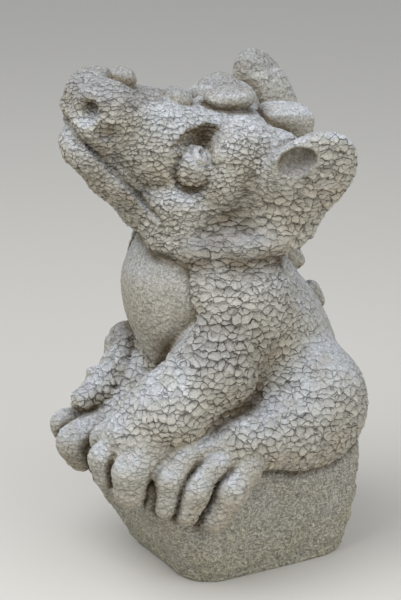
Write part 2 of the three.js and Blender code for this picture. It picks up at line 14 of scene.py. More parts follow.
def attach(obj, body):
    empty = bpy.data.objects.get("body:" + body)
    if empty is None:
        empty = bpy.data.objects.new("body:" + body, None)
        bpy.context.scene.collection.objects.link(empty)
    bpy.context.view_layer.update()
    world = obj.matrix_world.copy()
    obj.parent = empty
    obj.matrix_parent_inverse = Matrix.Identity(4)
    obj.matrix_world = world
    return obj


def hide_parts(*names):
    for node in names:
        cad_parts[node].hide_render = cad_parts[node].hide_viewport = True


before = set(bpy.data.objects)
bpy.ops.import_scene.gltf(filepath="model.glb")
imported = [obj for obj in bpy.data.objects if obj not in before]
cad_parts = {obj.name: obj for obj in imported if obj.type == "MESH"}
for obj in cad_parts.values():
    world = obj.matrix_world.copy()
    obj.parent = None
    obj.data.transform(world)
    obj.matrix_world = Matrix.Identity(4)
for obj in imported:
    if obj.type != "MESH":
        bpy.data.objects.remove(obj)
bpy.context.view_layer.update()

bl_info = {
    "name": "Seated Dragon Statue",
    "version": (1, 0, 0),
    "blender": (4, 5, 0),
    "location": "View3D > Sidebar > Dragon",
    "description": "Builds a weathered cast stone dragon on its rock, with a plain stage",
    "category": "Add Mesh",
}

MILLIMETRE = 0.001

# Limits that keep divisions and lookups safe, and a distance from everything
TINY = 1e-9
FLAT = 1e-6
HAIR = 1e-4
FAR_AWAY = 1000.0

# Box that the casting lies in, in millimetres
LOW = (-104.0, -134.0, -4.0)
HIGH = (100.0, 94.0, 342.0)

# Grid that the skin is found on: points along a block, how many blocks from the skin still count as near it,
# and how many lots the near points are worked out in
GRID = {"block": 8, "near": 1.2, "lots": 24}

# Rock under the dragon: a rounded block that leans forward and widens upward
ROCK = {
    "height": 76, "top": 79, "low": -7, "corner": 22, "rim": 6,
    "half_wide": 47, "half_wide_gain": 11, "half_deep": 57.2, "half_deep_gain": 24,
    "middle": -2.8, "middle_lean": -17, "swell": 3, "swell_deep": 0.6, "slope": 0.93, "reach": (-0.2, 1.2),
}
ROCK_LUMP = {"centre": (48, -88, 68), "half": (9, 11, 15), "blend": 6}
ROCK_WAVE = {"high": 0.9, "pitch": (13, 15, 11)}

# Trunk: front line, back line and half width at evenly spaced heights
TRUNK = {
    "first": 70, "gap": 24, "low": 60, "high": 250, "end": 10, "slope": 0.92,
    "front": (-30, -44, -58, -68, -78, -79, -67, -48),
    "back": (54, 60, 62, 58, 46, 27, 15, 12),
    "wide": (50, 55, 57, 56, 54, 50, 45, 40),
}
SHOULDER = {"centre": (32, -30, 186), "half": (23, 30, 40), "blend": 10}
BIB = {
    "half": 42, "full": 178, "drop": 46, "narrowing": 0.25, "depth": 4, "fade": 9, "lip": (-1.2, 1.2),
    "facing": (10, -10),
}

# Limbs: joints are x, y, z and radius, given for the left side
LEFT_ARM = ((36, -22, 174, 24), (44, -47, 140, 24), (41, -76, 118, 22.5), (34, -96, 102, 19))
LEFT_TOES = (
    ((19, -98, 106, 8.5), (19, -108, 99, 8.5), (19, -106, 90, 8)),
    ((30, -105, 102, 9.5), (30.5, -115, 92, 8.8), (30.5, -113, 80, 8.2)),
    ((46, -92, 100, 12), (46.5, -105, 87, 11.5), (45.5, -105, 74, 10.6)),
)
RIGHT_ARM = ((22, -18, 165, 20), (28, -36, 135, 17), (28, -50, 112, 15), (31, -80, 84, 14))
RIGHT_TOES = (
    ((15, -84, 80, 10), (15, -90, 77, 10), (15, -88, 70, 9)),
    ((33, -92, 82, 12.5), (34, -100, 77, 13), (34, -97, 68, 11)),
    ((47, -90, 86, 9), (49, -101, 84, 9), (49, -99, 74, 8)),
)
ARM_BLEND = 12
HAUNCH = {"centre": (42, 21, 103), "half": (32, 41, 42)}
THIGH = ((52, 0, 96, 25), (57, -38, 97, 20))
INSTEP = (59, -36, 93, 16)
HIND_TOES = (
    ((56, -73, 94, 9.5), (58, -85, 82, 9.5), (57, -87, 65, 8.5)),
    ((63.5, -60, 88, 10), (65, -72, 75, 10), (62, -76, 61, 9)),
    ((67, -39.5, 84, 11), (69, -50.5, 72, 11.5), (65.5, -59, 55, 10)),
)
TOE_BLEND = 4
TOE_CLEFT = {"depth": 2.0, "width": 2.5}
FOOT_BLEND = 5

# Tail: from the rump round the right side, its end lying over the right front paw
TAIL = (
    (0, 46, 96, 30), (-28, 54, 98, 26), (-54, 36, 106, 22), (-66, 4, 116, 19), (-63, -28, 128, 15),
    (-50, -55, 131, 11.5), (-42, -66, 117, 11), (-41, -77, 106, 11), (-40, -93, 102, 8),
)
TAIL_BLEND = 8
TAIL_PLATES = ((-67, -8, 138, 9), (-58, -40, 143, 8), (-49, -65, 131, 6.5), (-45, -82, 115, 5))
TAIL_PLATE_THIN = 0.7
BACK_PLATES = ((0, 35, 187, 9), (0, 50, 158, 10))
BACK_PLATE_LEAN = ((0, -0.5, 1), (0, 1, 0.5))
BACK_PLATE_LOW = 0.8
BACK_PLATE_HALF = 5
PLATE_POWER = 4

# Head: its own frame, nose along -y, turned about the point it pivots on
HEAD = {"at": (0, -8, 248), "yaw": -6, "pitch": 22, "roll": 12}
SKULL = {"centre": (0, 2, -6), "half": (49, 50, 45)}
MUZZLE = {"joints": ((0, -18, 4, 34), (0, -62, 5, 25), (0, -92, 9, 21)), "narrow": 0.88, "blend": 14}
MUZZLE_SIDE = {"centre": (14, -50, 0), "half": (20, 34, 20), "blend": 8}
NOSE = {"centre": (11, -101, 15), "half": (16, 18, 17), "blend": 13}
LIP = {"centre": (12, -100, 2), "half": (15, 17, 10), "blend": 6}
JAW = {
    "joints": ((0, -99, -14, 12.5), (0, -76, -24, 12.5), (0, -48, -35.5, 14), (0, -20, -38, 18)),
    "narrow": 0.51, "blend": 8, "part": 3,
}
CHEEK = {"centre": (25, -34, -24), "half": (21, 26, 20), "blend": 5}
JOWL = {
    "joints": ((33, -42, -44, 8), (46, -22, -41, 9), (54, -4, -30, 9.5), (53, 17, -17, 10)),
    "blend": 8, "join": 13,
}
MOUTH = {
    "front": -116, "start": -1, "fall": 0.45, "slope": 0.91, "depth": 2.2, "width": 1.6,
    "corner": (-46, -54),
}
NOSTRIL = {"joints": ((23, -120, 12, 8.2), (18, -111, 14.5, 5)), "blend": 4.5}
NOSTRIL_WING = {"centre": (28, -100, 6), "half": (4, 5, 3), "blend": 6}
FOLD = {
    "joints": ((29, -20, 29, 14.5), (31.5, -22, 19, 14), (32.5, -20, 2.5, 13.5), (32.5, -18, -14, 13)),
    "blend": 10, "join": 2.5, "right_shift": (-4, 3, 7),
}
ORBIT = {"centre": (43, -46, 6), "half": (12, 15.5, 17.5), "blend": 4}
SOCKET = {"joints": ((34, -59, 13, 2.5), (29.5, -49, 20, 6), (26.5, -38, 24, 9)), "blend": 4, "edge": 1.5}
EYEBALL = {"centre": (28, -42, 3.6), "half": (13.2, 13.4, 14), "depth": 1.1, "width": 2}
PUPIL = {"centre": (34.6, -42.4, 15.8), "half": (4, 2.2, 2.2), "blend": 0.4}
LID = {"centre": (35.4, -42.4, 18.1), "radius": 9.1, "depth": 1.2, "width": 1.1}
EAR = {
    "along": (26, -4, 62), "across": (0.05, 1, 0.1), "centre": (57, 15, 28), "half": (37, 27, 13),
    "right_shift": (0, 16.7, 6.4), "right_half": (36, 19, 13), "right_lean": -0.9,
}
EAR_ROOT = {"centre": (42, 20, -2), "half": (19, 24, 26), "blend": 10, "join": 8}
TEMPLE = {"centre": (37, 1, 24), "half": (15, 18, 21), "blend": 12}
EAR_HOLLOW = {"centre": (68.7, -2.8, 38.1), "half": (12, 7.5, 9), "turn": 0.62, "blend": 1.5}
CREST = (
    {"centre": (0, -94, 33.5), "half": (8, 9, 7), "lean": 0},
    {"centre": (0, -56, 32), "half": (9, 11, 7), "lean": 0},
    {"centre": (0, -24, 42), "half": (10, 14, 10), "lean": 0.6},
    {"centre": (0, 17.6, 38), "half": (12, 18.5, 13.6), "lean": -0.27, "tilt": 0.27, "power": 3.5},
)

# Joins between the big forms
CREST_CLEFT = {"depth": 0.9, "width": 1.8}
HAUNCH_JOIN = 10
THIGH_JOIN = 14
LIMB_CREASE = 3.5
SHOULDER_JOIN = {"soft": 20, "from": 128, "to": 160, "bib": (2, -9)}
TAIL_CREASE = {"crease": 2.5, "soft": 14, "from": 10, "to": 50}
PLATE_JOIN = 2
NECK_CREASE = 3
ROCK_CREASE = {"depth": 1.8, "width": 2.5}

# Heights between which each big form can matter to the skin
SPAN = {
    "head": (160, 400), "trunk": (25, 300), "hind": (15, 180), "fore": (30, 235), "tail": (30, 185),
    "plates": (125, 225), "rock": (-60, 120),
}


def dot(a, b):
    """Sum of the products of the three parts of each row."""
    return np.einsum("ij,ij->i", a, b)


def length(a):
    """Length of each row."""
    return np.sqrt(dot(a, a))


def join(a, b, blend):
    """Union of two distances: the lesser one, less a fillet that grows as the two come within blend."""
    share = np.maximum(blend - np.abs(a - b), 0) / blend
    return np.minimum(a, b) - 0.25 * blend * share * share


def carve(a, b, blend):
    """Distance a with b taken out of it, the rim eased by blend."""
    return -join(-a, b, blend)


def band(value, half):
    """Share that is 1 at zero and fades on both sides: e to the minus square of the value over half."""
    return np.exp(-((value / half) ** 2))


def cleft(a, b, form):
    """Union of two distances with a groove sunk along the line where they are equal."""
    return np.minimum(a, b) + form["depth"] * band(a - b, form["width"])


def rise(low, high, value):
    """Smooth rise from 0 at low to 1 at high, low and high in either order: 3tt - 2ttt of the share t."""
    t = np.clip((value - low) / (high - low), 0, 1)
    return t * t * (3 - 2 * t)


def egg(p, form):
    """Distance from an ellipsoid, or a squarer one: the scaled radius less one, divided by its slope.

    The scaled radius is the root of the sum of the powers of the three scaled parts.
    """
    half = np.float32(form["half"])
    power = form.get("power", 2)
    share = np.abs(p - np.float32(form["centre"])) / half
    size = np.maximum((share ** power).sum(axis=1) ** (1 / power), TINY)
    steep = length(share ** (power - 1) / half) / size ** (power - 1)
    return (size - 1) / np.maximum(steep, TINY)


def bone(p, start, end):
    """Distance from a tapered rod: the gap to the nearest point of its axis, less the radius there."""
    start = np.float32(start)
    end = np.float32(end)
    span = end[:3] - start[:3]
    reach = p - start[:3]
    t = np.clip(reach @ span / (span @ span), 0, 1)
    return length(reach - t[:, None] * span) - (start[3] + (end[3] - start[3]) * t)


def limb(p, joints, blend):
    """Distance from rods through all the joints, blended at each joint."""
    d = bone(p, joints[0], joints[1])
    for start, end in zip(joints[1:], joints[2:]):
        d = join(d, bone(p, start, end), blend)
    return d


def curve(at, first, gap, values):
    """Cubic through evenly spaced values, its slope at each one half the step between its neighbours."""
    values = np.float32(values)
    last = len(values) - 1
    t = np.clip((at - first) / gap, 0, last - HAIR)
    i = t.astype(np.int32)
    f = t - i
    a = values[np.maximum(i - 1, 0)]
    b = values[i]
    c = values[np.minimum(i + 1, last)]
    e = values[np.minimum(i + 2, last)]
    return b + 0.5 * f * (c - a + f * (2 * a - 5 * b + 4 * c - e + f * (3 * (b - c) + e - a)))


def axes_of(along, across):
    """Three square axes as columns: one along, one across (squared up) and their normal."""
    a = Vector(along).normalized()
    w = Vector(across)
    w = (w - a * w.dot(a)).normalized()
    return np.float32((a, w, a.cross(w))).T


HEAD_TURN = np.float32(
    Matrix.Rotation(math.radians(HEAD["yaw"]), 3, "Z")
    @ Matrix.Rotation(-math.radians(HEAD["pitch"]), 3, "X")
    @ Matrix.Rotation(math.radians(HEAD["roll"]), 3, "Y")
)
EAR_AXES = axes_of(EAR["along"], EAR["across"])
RIGHT_EAR_AXES = axes_of(EAR_AXES[:, 0] + EAR["right_lean"] * EAR_AXES[:, 1], EAR["across"])
HOLLOW_AXES = axes_of(EAR_AXES[:, 0] + EAR_HOLLOW["turn"] * EAR_AXES[:, 1], EAR["across"])
PLATE_AXES = axes_of(*BACK_PLATE_LEAN)


def turned_egg(p, form, axes):
    """Distance from an ellipsoid whose half sizes lie along its own axes."""
    own = (p - np.float32(form["centre"])) @ axes
    return egg(own, {**form, "centre": (0, 0, 0)})


def scaled(p, factors):
    """Points with each part multiplied by its factor."""
    return p * np.float32(factors)


def folded(p):
    """Points with both sides laid over the left one."""
    return np.column_stack((np.abs(p[:, 0]), p[:, 1], p[:, 2]))


def in_head(p):
    """Points in the head's own frame."""
    return (p - np.float32(HEAD["at"])) @ HEAD_TURN


def lid_edge(m):
    """Distance outward from the round edge of the lid."""
    return length(m - np.float32(LID["centre"])) - LID["radius"]


def with_eye(d, m):
    """Head with a recess under the brow, an orbit, the ball with the line of its lid, and a pupil."""
    d = carve(d, egg(m, ORBIT), ORBIT["blend"])
    d = carve(d, limb(m, SOCKET["joints"], SOCKET["blend"]), SOCKET["edge"])
    ball = egg(m, EYEBALL) + LID["depth"] * band(lid_edge(m), LID["width"])
    return carve(cleft(d, ball, EYEBALL), egg(m, PUPIL), PUPIL["blend"])


def with_ear(d, m, is_right):
    """Head with a broad leaf on a thick root, hollowed at the front; the right one sits further back."""
    right_leaf = {**EAR, "half": EAR["right_half"]}
    right = turned_egg(m - np.float32(EAR["right_shift"]), right_leaf, RIGHT_EAR_AXES)
    leaf = np.where(is_right, right, turned_egg(m, EAR, EAR_AXES))
    ear = join(leaf, egg(m, EAR_ROOT), EAR_ROOT["blend"])
    hollow = turned_egg(m, EAR_HOLLOW, HOLLOW_AXES)
    return carve(join(d, ear, EAR_ROOT["join"]), hollow, EAR_HOLLOW["blend"])


def leaning(q, plate):
    """Points sheared so that a plate of the crest leans back as it rises, and tilts up as it goes back."""
    moved = q.copy()
    moved[:, 1] -= plate["lean"] * (q[:, 2] - plate["centre"][2])
    moved[:, 2] -= plate.get("tilt", 0) * (q[:, 1] - plate["centre"][1])
    return moved


def mouth_seam(q):
    """Height over the plane of the closed lips, which falls from the front of the muzzle."""
    return (q[:, 2] - MOUTH["start"] + MOUTH["fall"] * (q[:, 1] - MOUTH["front"])) * MOUTH["slope"]


def head(p):
    """Distance from the head: skull, muzzle, jaw, folds, eyes, nostrils, ears and crest."""
    q = in_head(p)
    m = folded(q)
    muzzle = limb(scaled(q, (MUZZLE["narrow"], 1, 1)), MUZZLE["joints"], MUZZLE["blend"])
    d = join(egg(q, SKULL), muzzle, MUZZLE["blend"])
    for form in (MUZZLE_SIDE, NOSE, LIP):
        d = join(d, egg(m, form), form["blend"])
    d = join(d, limb(scaled(q, (JAW["narrow"], 1, 1)), JAW["joints"], JAW["blend"]), JAW["part"])
    d = join(d, egg(m, CHEEK), CHEEK["blend"])
    groove = band(mouth_seam(q), MOUTH["width"])
    d = d + MOUTH["depth"] * groove * rise(*MOUTH["corner"], q[:, 1])
    d = carve(d, egg(m, NOSTRIL_WING), NOSTRIL_WING["blend"])
    d = with_eye(d, m)
    is_right = q[:, 0] < 0
    own = m - is_right[:, None] * np.float32(FOLD["right_shift"])
    d = join(d, limb(own, FOLD["joints"], FOLD["blend"]), FOLD["join"])
    d = join(d, limb(m, JOWL["joints"], JOWL["blend"]), JOWL["join"])
    d = join(d, egg(m, TEMPLE), TEMPLE["blend"])
    d = carve(d, limb(m, NOSTRIL["joints"], NOSTRIL["blend"]), NOSTRIL["blend"])
    d = with_ear(d, m, is_right)
    for plate in CREST:
        d = cleft(d, egg(leaning(q, plate), plate), CREST_CLEFT)
    return d


def trunk_lines(z):
    """Middle, half depth and half width of the trunk at each height."""
    names = ("front", "back", "wide")
    front, back, wide = (curve(z, TRUNK["first"], TRUNK["gap"], TRUNK[name]) for name in names)
    return (front + back) / 2, (back - front) / 2, wide


def bib_edge(p):
    """How far inside the bib's edge each point lies, seen from the front: round below, narrowing upward."""
    below = np.maximum(BIB["full"] - p[:, 2], 0) / BIB["drop"]
    above = np.maximum(p[:, 2] - BIB["full"], 0)
    half = BIB["half"] * np.sqrt(np.maximum(1 - below * below, 0)) - BIB["narrowing"] * above
    return half - np.abs(p[:, 0])


def trunk(p):
    """Distance from the trunk: oval sections with shoulders, and the bib let in behind a lip of skin."""
    middle, deep, wide = trunk_lines(p[:, 2])
    ring = np.hypot(p[:, 0] / wide, (p[:, 1] - middle) / deep)
    d = (ring - 1) * np.minimum(wide, deep) * TRUNK["slope"]
    d = join(d, egg(folded(p), SHOULDER), SHOULDER["blend"])
    edge = bib_edge(p)
    sunk = rise(*BIB["lip"], edge) * band(np.maximum(edge, 0), BIB["fade"])
    d = d + BIB["depth"] * sunk * rise(*BIB["facing"], p[:, 1] - middle)
    ends = np.maximum(p[:, 2] - TRUNK["high"], TRUNK["low"] - p[:, 2])
    return carve(d, -ends, TRUNK["end"])


def toes(p, toe_set):
    """Distance from toes side by side, with clefts between them."""
    d = limb(p, toe_set[0], TOE_BLEND)
    for joints in toe_set[1:]:
        d = cleft(d, limb(p, joints, TOE_BLEND), TOE_CLEFT)
    return d


def hind_toes(p):
    """Distance from the three long toes of the left hind foot, each starting at the instep."""
    return toes(p, [(INSTEP,) + joints for joints in HIND_TOES])


def foreleg(p, arm, toe_set):
    """Distance from a foreleg with its paw."""
    return join(limb(p, arm, ARM_BLEND), toes(p, toe_set), FOOT_BLEND)


def hind_leg(p):
    """Distance from the left haunch, thigh and hind foot."""
    leg = join(egg(p, HAUNCH), bone(p, *THIGH), THIGH_JOIN)
    return join(leg, hind_toes(p), FOOT_BLEND)


def mirrored(p):
    """Points on the other side."""
    return scaled(p, (-1, 1, 1))


def tail_plates(p):
    """Distance from the plates along the tail."""
    forms = [
        {"centre": (x, y, z), "half": (size * TAIL_PLATE_THIN, size, size), "power": PLATE_POWER}
        for x, y, z, size in TAIL_PLATES
    ]
    return np.minimum.reduce([egg(p, form) for form in forms])


def back_plates(p):
    """Distance from the plates on the back."""
    forms = [
        {"centre": (x, y, z), "half": (size, size * BACK_PLATE_LOW, BACK_PLATE_HALF), "power": PLATE_POWER}
        for x, y, z, size in BACK_PLATES
    ]
    return np.minimum.reduce([turned_egg(p, form, PLATE_AXES) for form in forms])


def tail(p):
    """Distance from the tail with its plates."""
    return join(limb(p, TAIL, TAIL_BLEND), tail_plates(p), PLATE_JOIN)


def rock(p):
    """Distance from the rock: a rounded block whose half sizes grow with height, gently waved."""
    t = np.clip(p[:, 2] / ROCK["height"], *ROCK["reach"])
    swell = ROCK["swell"] * np.sin(np.pi * np.clip(t, 0, 1))
    across = np.abs(p[:, 0]) - (ROCK["half_wide"] + ROCK["half_wide_gain"] * t + swell - ROCK["corner"])
    deep = ROCK["half_deep"] + ROCK["half_deep_gain"] * t + swell * ROCK["swell_deep"]
    along = np.abs(p[:, 1] - ROCK["middle"] - ROCK["middle_lean"] * t) - (deep - ROCK["corner"])
    outside = np.hypot(np.maximum(across, 0), np.maximum(along, 0))
    d = (outside + np.minimum(np.maximum(across, along), 0) - ROCK["corner"]) * ROCK["slope"]
    waves = np.sin(p / np.float32(ROCK_WAVE["pitch"]) + np.arange(3, dtype=np.float32))
    d = d + ROCK_WAVE["high"] * waves.prod(axis=1)
    d = carve(d, -np.maximum(p[:, 2] - ROCK["top"], ROCK["low"] - p[:, 2]), ROCK["rim"])
    return join(d, egg(p, ROCK_LUMP), ROCK_LUMP["blend"])


FORMS = {
    "trunk": trunk,
    "hind": lambda p: np.minimum(hind_leg(p), hind_leg(mirrored(p))),
    "fore": lambda p: foreleg(p, LEFT_ARM, LEFT_TOES),
    "far_fore": lambda p: foreleg(mirrored(p), RIGHT_ARM, RIGHT_TOES),
    "plates": back_plates,
    "tail": tail,
    "head": head,
    "rock": rock,
}


def distances(p):
    """Distance from each big form by name, worked out only at the heights where the form can matter."""
    out = {}
    for name, form in FORMS.items():
        low, high = SPAN[name.replace("far_", "")]
        inside = (p[:, 2] > low) & (p[:, 2] < high)
        out[name] = np.full(len(p), FAR_AWAY, np.float32)
        out[name][inside] = form(p[inside])
    return out


def casting(p):
    """Distance from the whole casting, cut flat at the ground."""
    part = distances(p)
    d = join(part["trunk"], part["hind"], HAUNCH_JOIN)
    high = rise(SHOULDER_JOIN["from"], SHOULDER_JOIN["to"], p[:, 2])
    crease = LIMB_CREASE + SHOULDER_JOIN["soft"] * high * rise(*SHOULDER_JOIN["bib"], bib_edge(p))
    d = join(d, part["fore"], crease)
    d = join(d, part["far_fore"], crease)
    d = join(d, part["plates"], PLATE_JOIN)
    behind = rise(TAIL_CREASE["from"], TAIL_CREASE["to"], p[:, 1])
    d = join(d, part["tail"], TAIL_CREASE["crease"] + TAIL_CREASE["soft"] * behind)
    d = join(d, part["head"], NECK_CREASE)
    d = cleft(d, part["rock"], ROCK_CREASE)
    return np.maximum(d, -p[:, 2])


def slope(p, d, step=0.2):
    """Direction in which the field grows, from one short step along each axis."""
    ahead = [casting(p + np.float32(step * np.eye(3)[axis])) - d for axis in range(3)]
    rows = np.column_stack(ahead) / step
    return rows / np.maximum(length(rows), FLAT)[:, None]


def grid_values(cell):
    """Field on an even grid; blocks whose middle lies far from the skin keep the value at their middle."""
    block = GRID["block"]
    count = [math.ceil((high - low) / cell / block) * block for low, high in zip(LOW, HIGH)]
    axes = [np.float32(low + cell * np.arange(n)) for low, n in zip(LOW, count)]
    middles = [axis.reshape(-1, block).mean(axis=1) for axis in axes]
    rough = casting(np.stack(np.meshgrid(*middles, indexing="ij"), axis=-1).reshape(-1, 3))
    rough = rough.reshape([len(m) for m in middles])
    values = rough.repeat(block, 0).repeat(block, 1).repeat(block, 2)
    near = (np.abs(rough) < GRID["near"] * cell * block).repeat(block, 0).repeat(block, 1).repeat(block, 2)
    spots = np.argwhere(near)
    points = np.column_stack([axis[spots[:, i]] for i, axis in enumerate(axes)])
    values[near] = np.concatenate([casting(part) for part in np.array_split(points, GRID["lots"])])
    return values


def net_of(values, cell):
    """Skin of a grid: a point in each cube that the skin crosses, a quad round each grid line it crosses."""
    inside = values < 0
    size = np.array(values.shape) - 1
    corner = [(i, j, k) for i in (0, 1) for j in (0, 1) for k in (0, 1)]
    view = {c: inside[c[0]:size[0] + c[0], c[1]:size[1] + c[1], c[2]:size[2] + c[2]] for c in corner}
    total = np.add.reduce([part.astype(np.int8) for part in view.values()])
    cubes = np.argwhere((total > 0) & (total < 8))
    number = np.full(size, -1, np.int64)
    number[tuple(cubes.T)] = np.arange(len(cubes))
    place = np.zeros((len(cubes), 3))
    share = np.zeros((len(cubes), 1))
    for axis in range(3):
        for start in (c for c in corner if c[axis] == 0):
            end = np.array(start) + np.eye(3, dtype=int)[axis]
            a = values[tuple((cubes + start).T)]
            b = values[tuple((cubes + end).T)]
            crossed = (a < 0) != (b < 0)
            t = np.where(crossed, a / np.where(crossed, a - b, 1), 0)
            spot = cubes + start + t[:, None] * np.eye(3)[axis]
            place += spot * crossed[:, None]
            share += crossed[:, None]
    quads = []
    for axis in range(3):
        ahead = np.roll(inside, -1, axis)
        lines = np.argwhere(inside != ahead)
        lines = lines[(lines > 0).all(axis=1) & (lines < size).all(axis=1)]
        u = np.eye(3, dtype=int)[(axis + 1) % 3]
        w = np.eye(3, dtype=int)[(axis + 2) % 3]
        round_line = ((1, 1), (0, 1), (0, 0), (1, 0))
        ring = np.stack([number[tuple((lines - s * u - r * w).T)] for s, r in round_line], 1)
        outward = inside[tuple(lines.T)]
        quads.append(np.where(outward[:, None], ring, ring[:, ::-1]))
    return np.float32(LOW) + np.float32(cell * place / share), np.concatenate(quads)


def add_node(tree, kind, settings=None, links=None):
    """One node with its settings, which are socket values or properties, and the sockets linked into it."""
    node = tree.nodes.new(kind)
    for name, value in (settings or {}).items():
        if isinstance(name, str) and hasattr(node, name):
            setattr(node, name, value)
        else:
            node.inputs[name].default_value = value
    for name, socket in (links or {}).items():
        tree.links.new(socket, node.inputs[name])
    return node


# Kinds of scale, and how each is stretched: over 1 makes it shorter along that axis
KINDS = ("body", "fine", "fold")
KINDS_SHARES = tuple("skin_" + kind for kind in KINDS)
STRETCH = {"body": (1.0, 1.0, 1.25), "fine": (0.8, 0.8, 1.2), "fold": (0.5, 0.5, 1.3)}

# How the edges of scales wander: width of a coarse and of a fine noise and its reach, as shares of a scale
WANDER = ((1.7, 0.9), (0.5, 0.4))
WANDER_DETAIL = 1.0
MIDDLE = 0.5

# Noise in the stone: width in metres and detail
NOISE = {"patch": (0.022, 2.0), "wear": (0.007, 1.0), "lump": (0.011, 3.0)}
GRAIN_DETAIL = 4.0

# Sockets of a range, which are from low, from high, to low and to high, and the ranges of the crackle:
# cracks fade at the sides of a scale and where the skin is worn
RANGE = (1, 2, 3, 4)
SMOOTH = {"interpolation_type": "SMOOTHSTEP"}
CRACK_START = 0.01
CRACK_SIDES = (0.02, 0.26, 0.25, 1.0)
CRACK_WEAR = (0.34, 0.54, 0.3, 1.0)


def add_cells(tree, place, size, stretch, crack, skin, worn):
    """Crackle of cells: the share of a crack, and the height of the skin in metres.

    The places are first moved by coarse and by fine noise, so that the cracks wander, and then stretched, so
    that the cells are wider than they are tall. A crack is as wide as the given share of a cell, and fades
    out at the sides of its cell and where the skin is worn. Each cell stands out at its lower edge.
    """
    moved = place
    for width, reach in WANDER:
        settings = {"Scale": 1 / (width * size), "Detail": WANDER_DETAIL}
        noise = add_node(tree, "ShaderNodeTexNoise", settings, {"Vector": place})
        evened = {"operation": "SUBTRACT", 1: (MIDDLE, MIDDLE, MIDDLE)}
        swing = add_node(tree, "ShaderNodeVectorMath", evened, {0: noise.outputs["Color"]})
        swung = {"operation": "MULTIPLY_ADD", 1: (reach * size, reach * size, reach * size)}
        moved = add_node(tree, "ShaderNodeVectorMath", swung, {0: swing.outputs[0], 2: moved}).outputs[0]
    stretched = {"operation": "MULTIPLY", 1: stretch}
    wide = add_node(tree, "ShaderNodeVectorMath", stretched, {0: moved}).outputs[0]
    to_edge = {"feature": "DISTANCE_TO_EDGE", "Scale": 1 / size, "Randomness": 1.0}
    edge = add_node(tree, "ShaderNodeTexVoronoi", to_edge, {"Vector": wide}).outputs["Distance"]
    nearest = {"feature": "F1", "Scale": 1 / size, "Randomness": 1.0}
    cell = add_node(tree, "ShaderNodeTexVoronoi", nearest, {"Vector": wide})
    links = {0: cell.outputs["Position"], 1: wide}
    offset = add_node(tree, "ShaderNodeVectorMath", {"operation": "SUBTRACT"}, links).outputs[0]
    down = {"operation": "DOT_PRODUCT", 1: (0, 0, 1 / size)}
    low = add_node(tree, "ShaderNodeVectorMath", down, {0: offset}).outputs["Value"]
    from_middle = add_node(tree, "ShaderNodeMath", {"operation": "ABSOLUTE"}, {0: low}).outputs[0]
    fade = {**SMOOTH, **dict(zip(RANGE, CRACK_SIDES))}
    sides = add_node(tree, "ShaderNodeMapRange", fade, {0: from_middle}).outputs[0]
    narrow = {**SMOOTH, **dict(zip(RANGE, (CRACK_START, crack, 1.0, 0.0)))}
    gap = add_node(tree, "ShaderNodeMapRange", narrow, {0: edge})
    for faded in (sides, worn):
        gap = add_node(tree, "ShaderNodeMath", {"operation": "MULTIPLY"}, {0: gap.outputs[0], 1: faded})
    # Half a step down, so that high and low scales lie evenly about the skin
    tilt = {"operation": "MULTIPLY_ADD", 1: skin.scale_tilt, 2: -MIDDLE * skin.scale_step}
    height = add_node(tree, "ShaderNodeMath", tilt, {0: low})
    for factor, socket in ((skin.scale_step, cell.outputs["Color"]), (-skin.scale_height, gap.outputs[0])):
        settings = {"operation": "MULTIPLY_ADD", 1: factor}
        height = add_node(tree, "ShaderNodeMath", settings, {0: socket, 2: height.outputs[0]})
    return gap.outputs[0], height.outputs[0]


def stone_pattern(tree, place, skin, crack):
    """Sockets of the stone's patterns by name: the same for the raised skin and for its colour."""
    sockets = {}
    for name, (size, detail) in {**NOISE, "grain": (skin.grain_size, GRAIN_DETAIL)}.items():
        settings = {"Scale": 1 / size, "Detail": detail}
        sockets[name] = add_node(tree, "ShaderNodeTexNoise", settings, {"Vector": place}).outputs[0]
    fade = {**SMOOTH, **dict(zip(RANGE, CRACK_WEAR))}
    worn = add_node(tree, "ShaderNodeMapRange", fade, {0: sockets["wear"]}).outputs[0]
    for kind, size in zip(KINDS, (skin.scale_size, skin.fine_size, skin.fold_size)):
        gap, height = add_cells(tree, place, size, STRETCH[kind], crack, skin, worn)
        sockets.update({kind + "_gap": gap, kind + "_height": height})
    return sockets


def pattern_at(points, skin):
    """Values of the stone's patterns at points in metres, by name."""
    mesh = bpy.data.meshes.new("pattern_points")
    mesh.vertices.add(len(points))
    mesh.vertices.foreach_set("co", np.float32(points).ravel())
    holder = bpy.data.objects.new("pattern_points", mesh)
    bpy.context.scene.collection.objects.link(holder)
    tree = bpy.data.node_groups.new("pattern_points", "GeometryNodeTree")
    for way in ("INPUT", "OUTPUT"):
        tree.interface.new_socket("Geometry", in_out=way, socket_type="NodeSocketGeometry")
    flow = add_node(tree, "NodeGroupInput").outputs[0]
    place = add_node(tree, "GeometryNodeInputPosition").outputs[0]
    sockets = stone_pattern(tree, place, skin, skin.wide_crack)
    for name, socket in sockets.items():
        settings = {"data_type": "FLOAT", "domain": "POINT", "Name": name}
        links = {"Geometry": flow, "Value": socket}
        flow = add_node(tree, "GeometryNodeStoreNamedAttribute", settings, links).outputs[0]
    add_node(tree, "NodeGroupOutput", None, {0: flow})
    holder.modifiers.new("pattern", "NODES").node_group = tree
    made = holder.evaluated_get(bpy.context.evaluated_depsgraph_get()).data
    values = {}
    for name in sockets:
        values[name] = np.empty(len(points), np.float32)
        made.attributes[name].data.foreach_get("value", values[name])
    bpy.data.objects.remove(holder)
    bpy.data.meshes.remove(mesh)
    bpy.data.node_groups.remove(tree)
    return values


